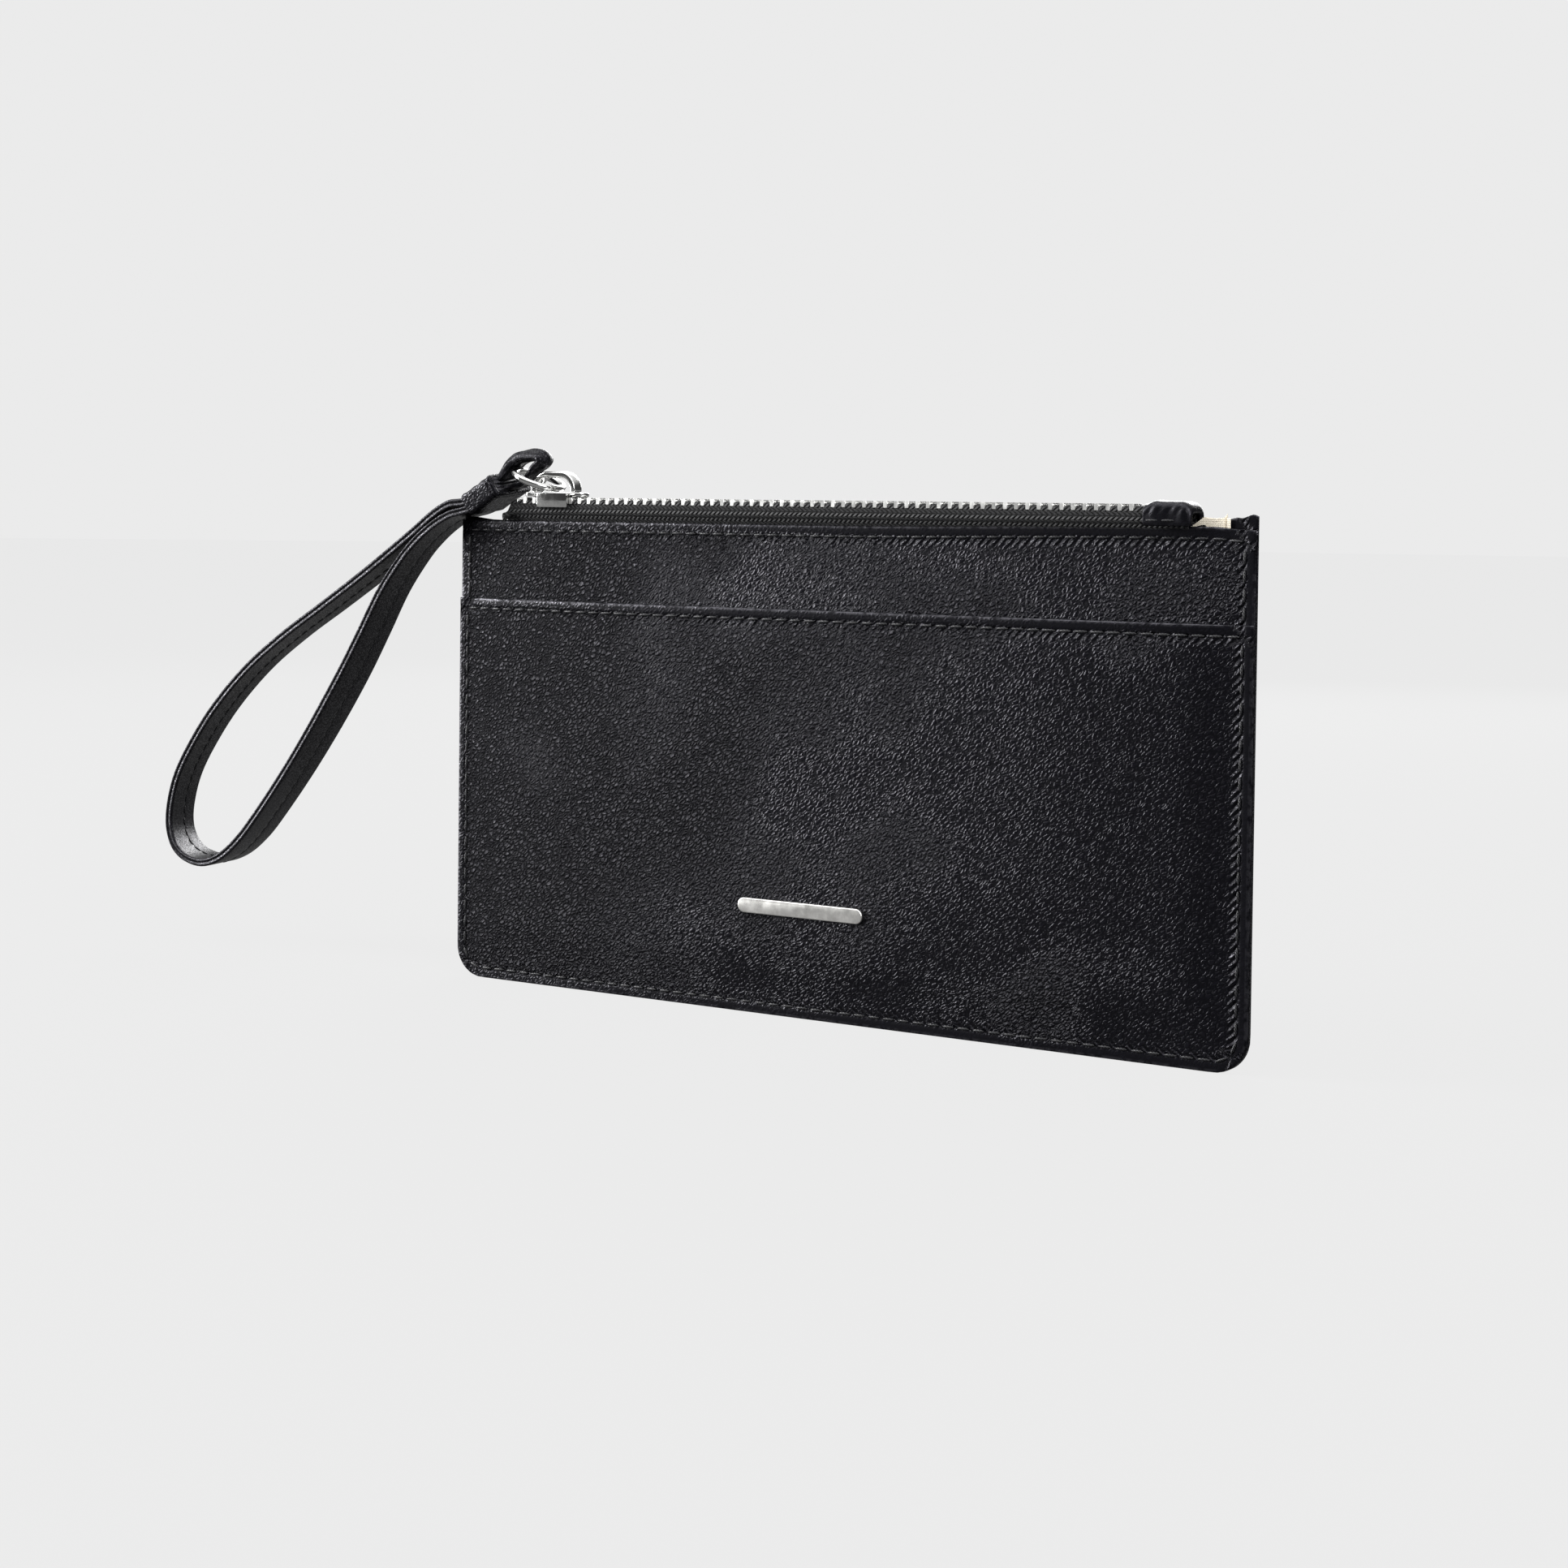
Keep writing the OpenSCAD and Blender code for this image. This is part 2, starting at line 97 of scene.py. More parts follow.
def settle(points):
    # lays flat layers the way a sewn pouch lies: pressed thin along the seams, slack in the middle
    p = np.array(points, float).reshape(-1, 3)
    x, y, z = p[:, 0], p[:, 1], p[:, 2]
    side = np.sign(y)
    inward = np.minimum(pouch["halfWidth"] - np.abs(x), z)
    press = pouch["pinch"] + (1 - pouch["pinch"]) * smooth(*drape["pressed"], inward)
    slack = smooth(*drape["slackFromSide"], pouch["halfWidth"] - np.abs(x))
    slack = slack * smooth(*drape["slackFromBottom"], z) * (1 - smooth(*drape["slackEnds"], z))
    wave = 0.16 * np.sin(x / 23 + 0.8) * np.sin(z / 17 + 0.4) + 0.1 * np.sin(x / 41 - z / 29)
    bulge = np.where(side < 0, pouch["frontBulge"], pouch["backBulge"]) + wave * np.where(side < 0, 1, 0.8)
    p[:, 1] = y * press + side * slack * bulge
    back = (y > 0.1) * smooth(95.5, pouch["height"], z)
    start, rest, again, full = drape["rightCorner"]
    lift = 0.45 * smooth(start, rest, x) + 0.55 * smooth(again, full, x)
    lump = drape["lump"] * np.sin((x - 90.5) * 1.35) * smooth(90, 92, x)
    p[:, 2] = z + back * (pouch["cornerLift"] * lift + lump + drape["leftRise"] * smooth(-88, -96, x))
    front = (y < -0.1) * smooth(93, 102, z)
    p[:, 2] += front * (1 - smooth(88, 97, x) * 0.6) * pouch["frontLift"] * smooth(0, 80, x)
    return p


def meshObject(name, points, faces, material, attributes=None, smoothFaces=True):
    mesh = bpy.data.meshes.new(name)
    mesh.from_pydata([tuple(q) for q in np.asarray(points) * mm], [], [tuple(map(int, f)) for f in faces])
    work = bmesh.new()
    work.from_mesh(mesh)
    bmesh.ops.recalc_face_normals(work, faces=work.faces)
    work.to_mesh(mesh)
    work.free()
    for key, values in (attributes or {}).items():
        layer = mesh.attributes.new(key, "FLOAT", "POINT")
        layer.data.foreach_set("value", np.asarray(values, np.float32))
    for polygon in mesh.polygons:
        polygon.use_smooth = smoothFaces
    mesh.materials.append(material)
    piece = bpy.data.objects.new(name, mesh)
    bpy.context.scene.collection.objects.link(piece)
    return piece


def settleOn(piece, body, slotName, *replaced):
    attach(piece, body)
    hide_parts(*replaced)
    return piece


def gridFaces(rows, columns, index, flip=False):
    faces = []
    for i in range(rows - 1):
        for j in range(columns - 1):
            quad = [index[i, j], index[i + 1, j], index[i + 1, j + 1], index[i, j + 1]]
            faces.append(quad[::-1] if flip else quad)
    return faces


# distances from an edge at which a layer has points: close over its rolled edge and its seam
edgeSteps = [0, 0.05, 0.14, 0.27, 0.45, 0.8, 1.3, 1.8, 2.05, 2.3, 2.55, 2.9, 3.5, 4.5, 6, 8, 10.5, 14]
sewing = {
    "edgeRoll": 0.5,  # radius of a layer's rolled edge
    "groove": 0.22,  # how deep a seam draws the leather in
    "grooveWidth": 0.42,
    "puffFrom": 0.6,  # the leather swells again between these distances from a seam
    "puffTo": 7,
}


def stations(low, high, spacing, reach=14.0):
    # close together near both edges, even in between
    near = [s for s in edgeSteps if s <= min(reach, (high - low) * 0.45)]
    start, end = low + near[-1], high - near[-1]
    count = max(1, int(round((end - start) / spacing)))
    middle = [start + (end - start) * i / count for i in range(1, count)]
    return np.array([low + s for s in near] + middle + [high - s for s in near[::-1]])


def layer(name, material, side, inner, outer, low, high, inset=0.0, cornerRadius=0.0,
          seams=("side", "bottom", "top"), puff=0.22, spacing=3.5, extra=None):
    # one closed sheet of leather or cloth, its edges rolled, its seams drawn in
    halfWidth = pouch["halfWidth"] - inset
    xs = stations(-halfWidth, halfWidth, spacing)
    zs = stations(low, high, spacing)
    gridX, gridZ = np.meshgrid(xs, zs, indexing="ij")
    sideGap, bottomGap, topGap = halfWidth - np.abs(gridX), gridZ - low, high - gridZ
    nearest = np.minimum(np.minimum(sideGap, bottomGap), topGap)
    depthIn, depthOut = inner(gridZ), outer(gridZ)
    middle, half = (depthIn + depthOut) / 2, (depthOut - depthIn) / 2
    roll = np.sqrt(1 - (1 - np.clip(nearest / sewing["edgeRoll"], 0, 1)) ** 2)
    seamGaps = {"side": sideGap, "bottom": bottomGap, "top": topGap}
    seam, run = np.full_like(gridX, 50.0), np.zeros_like(gridX)
    lift = np.zeros_like(gridX)
    for key in seams:
        gap = seamGaps[key] + (inset if key == "side" else 0) - pouch["seamInset"]
        lift -= sewing["groove"] * np.exp(-(gap / sewing["grooveWidth"]) ** 2)
        closer = np.abs(gap) < np.abs(seam)
        seam = np.where(closer, gap, seam)
        run = np.where(closer, gridZ if key == "side" else gridX, run)
    if seams:
        lift += puff * smooth(sewing["puffFrom"], sewing["puffTo"], seam)
    front = middle + half * roll + lift * roll
    back = middle - half * roll
    shapeX, shapeZ = gridX.copy(), gridZ.copy()
    if cornerRadius > 0:
        a = np.clip(np.abs(gridX) - (halfWidth - cornerRadius), 0, None)
        b = np.clip(low + cornerRadius - gridZ, 0, None)
        inCorner = (a > 1e-9) & (b > 1e-9)
        reach = np.maximum(a, b) / np.maximum(np.hypot(a, b), 1e-9)
        shapeX = np.where(inCorner, np.sign(gridX) * (halfWidth - cornerRadius + a * reach), gridX)
        shapeZ = np.where(inCorner, low + cornerRadius - b * reach, gridZ)
    rows, columns = gridX.shape
    index = np.arange(rows * columns).reshape(rows, columns)
    points = np.stack([shapeX, side * front, shapeZ], -1).reshape(-1, 3)
    inside = np.ones_like(gridX, bool)
    inside[0, :] = inside[-1, :] = inside[:, 0] = inside[:, -1] = False
    rear = index.copy()
    rear[inside] = rows * columns + np.arange(inside.sum())
    points = np.vstack([points, np.stack([shapeX, side * back, shapeZ], -1)[inside]])
    faces = gridFaces(rows, columns, index) + gridFaces(rows, columns, rear, True)
    points = settle(points)
    if extra:
        points = extra(points)
    marks = {key: np.concatenate([field.reshape(-1), field[inside]])
             for key, field in (("seam", seam), ("run", run))}
    return meshObject(name, points, faces, material, marks)


def level(value):
    return lambda z: np.full_like(z, value)


def sweep(name, path, across, away, sections, material, closed=False, attributes=None):
    # skins the sections, given as (across, away) pairs, one after another along the path
    rows, columns = sections.shape[:2]
    points = path[:, None, :] + sections[:, :, :1] * across[:, None, :] + sections[:, :, 1:] * away[:, None, :]
    index = np.arange(rows * columns).reshape(rows, columns)
    index = np.hstack([index, index[:, :1]])
    if closed:
        index = np.vstack([index, index[:1]])
    faces = gridFaces(index.shape[0], index.shape[1], index)
    if not closed:
        faces += [list(index[0, :-1])[::-1], list(index[-1, :-1])]
    return meshObject(name, points.reshape(-1, 3), faces, material, attributes)


def refined(node, name, material, bevel, segments=3, angle=30):
    # a clean copy of a CAD node with its edges eased
    mesh = nodes[node].data.copy()
    piece = bpy.data.objects.new(name, mesh)
    bpy.context.scene.collection.objects.link(piece)
    work = bmesh.new()
    work.from_mesh(mesh)
    bmesh.ops.remove_doubles(work, verts=work.verts, dist=1e-6)
    bmesh.ops.dissolve_limit(work, angle_limit=math.radians(1), verts=work.verts, edges=work.edges)
    bmesh.ops.recalc_face_normals(work, faces=work.faces)
    work.to_mesh(mesh)
    work.free()
    mesh.materials.clear()
    mesh.materials.append(material)
    ease = piece.modifiers.new("ease", "BEVEL")
    ease.width = bevel * mm
    ease.segments = segments
    ease.limit_method = "ANGLE"
    ease.angle_limit = math.radians(angle)
    ease.harden_normals = False
    for polygon in mesh.polygons:
        polygon.use_smooth = True
    return applied(piece, sharp=40)


def applied(piece, sharp=None):
    # turns an object with modifiers into a plain mesh object
    bpy.context.view_layer.update()
    graph = bpy.context.evaluated_depsgraph_get()
    mesh = bpy.data.meshes.new_from_object(piece.evaluated_get(graph))
    piece.modifiers.clear()
    piece.data = mesh
    for polygon in mesh.polygons:
        polygon.use_smooth = True
    if sharp:
        mesh.set_sharp_from_angle(angle=math.radians(sharp))
    return piece


def addInputs(tree, inputs):
    for label, kind, value in inputs:
        socket = tree.interface.new_socket(label, in_out="INPUT", socket_type=kind)
        if value is not None:
            socket.default_value = value


def plug(tree, socket, value):
    # links a socket, or sets a plain value
    if isinstance(value, bpy.types.NodeSocket):
        tree.links.new(value, socket)
    else:
        socket.default_value = value


def newGroup(name, inputs, outputs):
    group = bpy.data.node_groups.new(name, "ShaderNodeTree")
    addInputs(group, inputs)
    for label, kind in outputs:
        group.interface.new_socket(label, in_out="OUTPUT", socket_type=kind)
    return group, group.nodes.new("NodeGroupInput"), group.nodes.new("NodeGroupOutput")


def node(tree, kind, settings=None, **links):
    # a new node; links are input names, with spaces written as _, to sockets or values
    made = tree.nodes.new(kind)
    for key, value in (settings or {}).items():
        setattr(made, key, value)
    for key, value in links.items():
        where = int(key[1:]) if key[0] == "i" and key[1:].isdigit() else key.replace("_", " ")
        plug(tree, made.inputs[where], value)
    return made


def maths(tree, operation, first, second=0.0, third=None):
    made = node(tree, "ShaderNodeMath", {"operation": operation}, i0=first, i1=second)
    if third is not None:
        plug(tree, made.inputs[2], third)
    return made.outputs[0]


def ramp(tree, value, low, high, outLow=0.0, outHigh=1.0):
    made = node(tree, "ShaderNodeMapRange", {"interpolation_type": "SMOOTHSTEP"}, Value=value, From_Min=low,
                From_Max=high, To_Min=outLow, To_Max=outHigh)
    return made.outputs[0]


def grainGroup():
    # pebbled leather: small raised pads parted by wrinkles, drawn out one way in soft patches
    group, enter, leave = newGroup("leatherGrain", [
        ("Position", "NodeSocketVector", None), ("Size", "NodeSocketFloat", 0.8), ("Wrinkle", "NodeSocketFloat", 0.5)],
        [("Height", "NodeSocketFloat"), ("Patch", "NodeSocketFloat")])
    links = group.links
    scaled = node(group, "ShaderNodeVectorMath", {"operation": "SCALE"}, Vector=enter.outputs["Position"],
                  Scale=1000)
    patch = node(group, "ShaderNodeTexNoise", None, Vector=scaled.outputs[0], Scale=0.03, Detail=1.0)
    warp = node(group, "ShaderNodeTexNoise", None, Vector=scaled.outputs[0], Scale=0.9, Detail=3.0)
    push = node(group, "ShaderNodeVectorMath", {"operation": "MULTIPLY_ADD"}, i0=warp.outputs["Color"],
                i1=(0.9, 0.9, 0.9), i2=scaled.outputs[0])
    turned = node(group, "ShaderNodeVectorRotate", {"rotation_type": "AXIS_ANGLE"}, Vector=push.outputs[0],
                  Axis=(0, 1, 0), Angle=0.6)
    divided = node(group, "ShaderNodeVectorMath", {"operation": "DIVIDE"}, i0=turned.outputs[0])
    sizes = node(group, "ShaderNodeCombineXYZ", None, X=maths(group, "MULTIPLY", enter.outputs["Size"], 1.55),
                 Y=enter.outputs["Size"], Z=maths(group, "MULTIPLY", enter.outputs["Size"], 0.8))
    links.new(sizes.outputs[0], divided.inputs[1])
    cells = node(group, "ShaderNodeTexVoronoi", {"feature": "DISTANCE_TO_EDGE"}, Vector=divided.outputs[0],
                 Scale=1.0)
    pads = ramp(group, cells.outputs["Distance"], 0.0, 0.34)
    fine = node(group, "ShaderNodeTexNoise", None, Vector=divided.outputs[0], Scale=1.7, Detail=4.0, Roughness=0.6)
    wrinkles = maths(group, "MULTIPLY", fine.outputs["Fac"], enter.outputs["Wrinkle"])
    links.new(maths(group, "ADD", pads, wrinkles), leave.inputs["Height"])
    parts = node(group, "ShaderNodeSeparateXYZ", None, Vector=scaled.outputs[0])
    worn = ramp(group, parts.outputs["X"], -90.0, 70.0, 0.12, -0.26)
    links.new(maths(group, "ADD", patch.outputs["Fac"], worn), leave.inputs["Patch"])
    return group


def puckerGroup():
    # leather drawn up between the stitches; reads how far a point is from its seam, and where along it
    group, enter, leave = newGroup("seamPucker", [
        ("Pitch", "NodeSocketFloat", 3.5), ("Reach", "NodeSocketFloat", 1.1)], [("Height", "NodeSocketFloat")])
    seam = node(group, "ShaderNodeAttribute", {"attribute_name": "seam"})
    run = node(group, "ShaderNodeAttribute", {"attribute_name": "run"})
    slanted = maths(group, "MULTIPLY_ADD", seam.outputs["Fac"], 0.9, run.outputs["Fac"])
    turns = maths(group, "DIVIDE", slanted, enter.outputs["Pitch"])
    wave = maths(group, "COSINE", maths(group, "MULTIPLY", turns, 2 * math.pi))
    finer = maths(group, "COSINE", maths(group, "MULTIPLY", turns, 4 * math.pi))
    both = maths(group, "MULTIPLY_ADD", wave, 0.5, finer)
    near = ramp(group, seam.outputs["Fac"], -0.5, 0.25)
    falloff = maths(group, "MULTIPLY", near, ramp(group, seam.outputs["Fac"], 0.4, 2.1, 1.0, 0.0))
    group.links.new(maths(group, "MULTIPLY", both, falloff), leave.inputs["Height"])
    return group


def weaveGroup():
    # rows of slanted threads, each row leaning the other way
    group, enter, leave = newGroup("ribbedWeave", [
        ("Position", "NodeSocketVector", None), ("Pitch", "NodeSocketFloat", 0.62), ("Row", "NodeSocketFloat", 0.85)],
        [("Height", "NodeSocketFloat")])
    parts = node(group, "ShaderNodeSeparateXYZ", None, Vector=enter.outputs["Position"])
    x = maths(group, "MULTIPLY", parts.outputs["X"], 1000)
    z = maths(group, "MULTIPLY", parts.outputs["Z"], 1000)
    y = maths(group, "ABSOLUTE", maths(group, "MULTIPLY", parts.outputs["Y"], 1000))
    rows = maths(group, "DIVIDE", maths(group, "MULTIPLY_ADD", y, 0.5, z), enter.outputs["Row"])
    lean = maths(group, "PINGPONG", rows, 1.0)
    across = maths(group, "ABSOLUTE", maths(group, "SINE", maths(group, "MULTIPLY", rows, math.pi)))
    steps = maths(group, "DIVIDE", x, enter.outputs["Pitch"])
    along = maths(group, "ADD", steps, maths(group, "MULTIPLY", lean, 0.9))
    ribs = maths(group, "ABSOLUTE", maths(group, "SINE", maths(group, "MULTIPLY", along, math.pi)))
    fuzz = node(group, "ShaderNodeTexNoise", None, Vector=enter.outputs["Position"], Scale=2600.0, Detail=2.0)
    shaped = maths(group, "MULTIPLY", ribs, ramp(group, across, 0.0, 0.5, 0.35, 1.0))
    group.links.new(maths(group, "MULTIPLY_ADD", fuzz.outputs["Fac"], 0.35, shaped), leave.inputs["Height"])
    return group


leatherGrain, seamPucker, ribbedWeave = grainGroup(), puckerGroup(), weaveGroup()


def newMaterial(name, base, roughness, metallic=0.0, specular=0.5):
    material = bpy.data.materials.new(name)
    material.use_nodes = True
    tree = material.node_tree
    shader = tree.nodes["Principled BSDF"]
    shader.inputs["Base Color"].default_value = (*base, 1)
    shader.inputs["Roughness"].default_value = roughness
    shader.inputs["Metallic"].default_value = metallic
    shader.inputs["Specular IOR Level"].default_value = specular
    return material, tree, shader


def placeGroup(tree, group, **links):
    return node(tree, "ShaderNodeGroup", {"node_tree": group}, **links)


def blendColors(tree, factor, first, second):
    made = node(tree, "ShaderNodeMix", {"data_type": "RGBA"})
    for socket, value in ((made.inputs[0], factor), (made.inputs[6], first), (made.inputs[7], second)):
        plug(tree, socket, (*value, 1) if isinstance(value, tuple) else value)
    return made.outputs[2]


def bumped(tree, height, depth, strength=1.0, under=None):
    made = node(tree, "ShaderNodeBump", None, Strength=strength, Distance=depth * mm, Height=height)
    if under:
        tree.links.new(under, made.inputs["Normal"])
    return made.outputs[0]


def leatherMaterial(name, base, light, grainSize, depth, roughness, pucker=0.0, specular=0.5):
    material, tree, shader = newMaterial(name, base, roughness, specular=specular)
    shader.inputs["Specular Tint"].default_value = (0.90, 0.88, 1.0, 1)
    place = node(tree, "ShaderNodeTexCoord").outputs["Object"]
    grain = placeGroup(tree, leatherGrain, Position=place, Size=grainSize, Wrinkle=0.35)
    height = grain.outputs["Height"]
    patch = grain.outputs["Patch"]
    tree.links.new(blendColors(tree, ramp(tree, height, 0.15, 1.3), base, light), shader.inputs["Base Color"])
    hollows = ramp(tree, height, 0.2, 1.2, 0.12, 0.0)
    worn = ramp(tree, patch, 0.35, 0.65, roughness - 0.04, roughness + 0.05)
    tree.links.new(maths(tree, "ADD", hollows, worn), shader.inputs["Roughness"])
    strength = maths(tree, "MULTIPLY", height, ramp(tree, patch, 0.30, 0.62, 0.16, 1.35))
    padShine = ramp(tree, height, 0.25, 1.05, -0.65, 0.65)
    contrast = maths(tree, "MULTIPLY", padShine, ramp(tree, patch, 0.30, 0.62, 0.30, 1.0))
    gloss = maths(tree, "MULTIPLY", maths(tree, "ADD", contrast, 1.0), specular)
    tree.links.new(gloss, shader.inputs["Specular IOR Level"])
    if pucker:
        seam = node(tree, "ShaderNodeAttribute", {"attribute_name": "seam"}).outputs["Fac"]
        strength = maths(tree, "MULTIPLY", strength, ramp(tree, seam, -0.9, 0.3, 0.10, 1.0))
        rim = ramp(tree, seam, -1.95, -1.5, 1.0, 0.0)
        rubbed = node(tree, "ShaderNodeTexNoise", None, Vector=place, Scale=700.0, Detail=2.0)
        shine = maths(tree, "MULTIPLY", rim, ramp(tree, rubbed.outputs["Fac"], 0.35, 0.6))
        tree.links.new(maths(tree, "MULTIPLY_ADD", shine, 0.5, gloss), shader.inputs["Specular IOR Level"])
        drawn = placeGroup(tree, seamPucker, Pitch=3.5).outputs["Height"]
        under = bumped(tree, drawn, pucker)
    else:
        under = None
    tree.links.new(bumped(tree, strength, depth, under=under), shader.inputs["Normal"])
    return material


def clothMaterial(name, base, dark, scale):
    material, tree, shader = newMaterial(name, base, 0.85, specular=0.2)
    shader.inputs["Sheen Weight"].default_value = 0.25
    place = node(tree, "ShaderNodeTexCoord").outputs["Object"]
    parts = node(tree, "ShaderNodeSeparateXYZ", None, Vector=place)
    waves = []
    for axis in ("X", "Z"):
        turned = maths(tree, "MULTIPLY", parts.outputs[axis], math.pi * 1000 / scale)
        waves.append(maths(tree, "ABSOLUTE", maths(tree, "SINE", turned)))
    height = maths(tree, "MULTIPLY", waves[0], waves[1])
    slub = node(tree, "ShaderNodeTexNoise", None, Vector=place, Scale=420.0, Detail=3.0)
    mixed = maths(tree, "MULTIPLY_ADD", slub.outputs["Fac"], 0.5, height)
    tree.links.new(blendColors(tree, ramp(tree, mixed, 0.1, 1.1), dark, base), shader.inputs["Base Color"])
    tree.links.new(bumped(tree, mixed, 0.06), shader.inputs["Normal"])
    return material


def tapeMaterial():
    material, tree, shader = newMaterial("zipTapeWeave", (0.012, 0.012, 0.013), 0.55, specular=0.22)
    place = node(tree, "ShaderNodeTexCoord").outputs["Object"]
    weave = placeGroup(tree, ribbedWeave, Position=place, Pitch=1.15, Row=0.95)
    height = weave.outputs["Height"]
    colour = blendColors(tree, ramp(tree, height, 0.35, 1.15), (0.0015, 0.0015, 0.0017), (0.034, 0.034, 0.036))
    tree.links.new(colour, shader.inputs["Base Color"])
    tree.links.new(bumped(tree, height, 0.45), shader.inputs["Normal"])
    return material


def threadMaterial():
    material, tree, shader = newMaterial("blackThread", (0.003, 0.003, 0.0035), 0.42, specular=0.35)
    place = node(tree, "ShaderNodeTexCoord").outputs["Object"]
    strands = node(tree, "ShaderNodeTexWave", {"wave_type": "BANDS", "bands_direction": "DIAGONAL"}, Vector=place,
                   Scale=900.0, Distortion=1.5)
    colour = blendColors(tree, strands.outputs["Fac"], (0.002, 0.002, 0.0025), (0.022, 0.022, 0.025))
    tree.links.new(colour, shader.inputs["Base Color"])
    tree.links.new(bumped(tree, strands.outputs["Fac"], 0.05, strength=0.8), shader.inputs["Normal"])
    return material


def metalMaterial(name, base, low, high, scratch):
    material, tree, shader = newMaterial(name, base, low, metallic=1.0)
    place = node(tree, "ShaderNodeTexCoord").outputs["Object"]
    smudge = node(tree, "ShaderNodeTexNoise", None, Vector=place, Scale=350.0, Detail=4.0)
    wear = node(tree, "ShaderNodeTexNoise", None, Vector=place, Scale=1800.0, Detail=2.0)
    tree.links.new(ramp(tree, smudge.outputs["Fac"], 0.3, 0.75, low, high), shader.inputs["Roughness"])
    shade = blendColors(tree, ramp(tree, wear.outputs["Fac"], 0.3, 0.8), tuple(c * 0.86 for c in base), base)
    tree.links.new(shade, shader.inputs["Base Color"])
    tree.links.new(bumped(tree, wear.outputs["Fac"], scratch), shader.inputs["Normal"])
    return material


blackDye, blackPads = (0.0010, 0.0010, 0.0018), (0.0030, 0.0029, 0.0045)
pouchLeather = leatherMaterial("pebbledLeather", blackDye, blackPads, grainSize=0.90, depth=0.46,
                               roughness=0.29, pucker=0.20, specular=0.185)
slotLeather = leatherMaterial("slotLeather", blackDye, blackPads, grainSize=0.90, depth=0.36,
                              roughness=0.30, pucker=0.16, specular=0.19)
strapLeather = leatherMaterial("strapLeather", (0.0014, 0.0014, 0.0020), (0.0030, 0.0030, 0.0040),
                               grainSize=0.5, depth=0.012, roughness=0.27, specular=0.28)
keeperLeather = leatherMaterial("keeperLeather", blackDye, (0.0028, 0.0028, 0.0040), grainSize=0.80,
                                depth=0.07, roughness=0.27, specular=0.26)
creamCloth = clothMaterial("creamLining", (0.93, 0.86, 0.73), (0.78, 0.70, 0.56), 0.35)
zipWeave = tapeMaterial()
blackThread = threadMaterial()
toothMetal = metalMaterial("toothMetal", (0.95, 0.95, 0.93), 0.28, 0.42, 0.01)
chrome = metalMaterial("polishedChrome", (0.74, 0.74, 0.73), 0.06, 0.14, 0.001)
badgeMetal = metalMaterial("polishedBadge", (0.90, 0.89, 0.86), 0.26, 0.38, 0.003)


def stitchTree():
    # one thread bar on every point, turned along "aim" with its back on the surface
    tree = bpy.data.node_groups.new("threadBars", "GeometryNodeTree")
    addInputs(tree, [("Geometry", "NodeSocketGeometry", None), ("Length", "NodeSocketFloat", 0.0026),
                     ("Width", "NodeSocketFloat", 0.0006), ("Turn", "NodeSocketFloat", 0.12),
                     ("Seed", "NodeSocketInt", 4), ("Thread", "NodeSocketMaterial", None)])
    tree.interface.new_socket("Geometry", in_out="OUTPUT", socket_type="NodeSocketGeometry")
    enter, leave = tree.nodes.new("NodeGroupInput"), tree.nodes.new("NodeGroupOutput")
    ball = node(tree, "GeometryNodeMeshUVSphere", None, Segments=8, Rings=6, Radius=0.5)
    size = node(tree, "ShaderNodeCombineXYZ", None, X=enter.outputs["Width"], Y=enter.outputs["Width"],
                Z=enter.outputs["Length"])
    bar = node(tree, "GeometryNodeTransform", None, Geometry=ball.outputs["Mesh"], Scale=size.outputs[0])
    soft = node(tree, "GeometryNodeSetShadeSmooth", None, Geometry=bar.outputs[0])
    aim = node(tree, "GeometryNodeInputNamedAttribute", {"data_type": "FLOAT_VECTOR"}, Name="aim")
    turned = node(tree, "FunctionNodeAlignRotationToVector", {"axis": "Z"}, Vector=aim.outputs["Attribute"])
    placed = node(tree, "GeometryNodeInstanceOnPoints", None, Points=enter.outputs["Geometry"],
                  Instance=soft.outputs[0], Rotation=turned.outputs[0])
    low = maths(tree, "MULTIPLY", enter.outputs["Turn"], -1)
    jitter = node(tree, "FunctionNodeRandomValue", {"data_type": "FLOAT"})
    tree.links.new(low, jitter.inputs[2])
    tree.links.new(enter.outputs["Turn"], jitter.inputs[3])
    tree.links.new(enter.outputs["Seed"], jitter.inputs["Seed"])
    twist = node(tree, "ShaderNodeCombineXYZ", None, X=jitter.outputs[1])
    spun = node(tree, "GeometryNodeRotateInstances", None, Instances=placed.outputs[0], Rotation=twist.outputs[0])
    real = node(tree, "GeometryNodeRealizeInstances", None, Geometry=spun.outputs[0])
    done = node(tree, "GeometryNodeSetMaterial", None, Geometry=real.outputs[0], Material=enter.outputs["Thread"])
    tree.links.new(done.outputs[0], leave.inputs[0])
    return tree


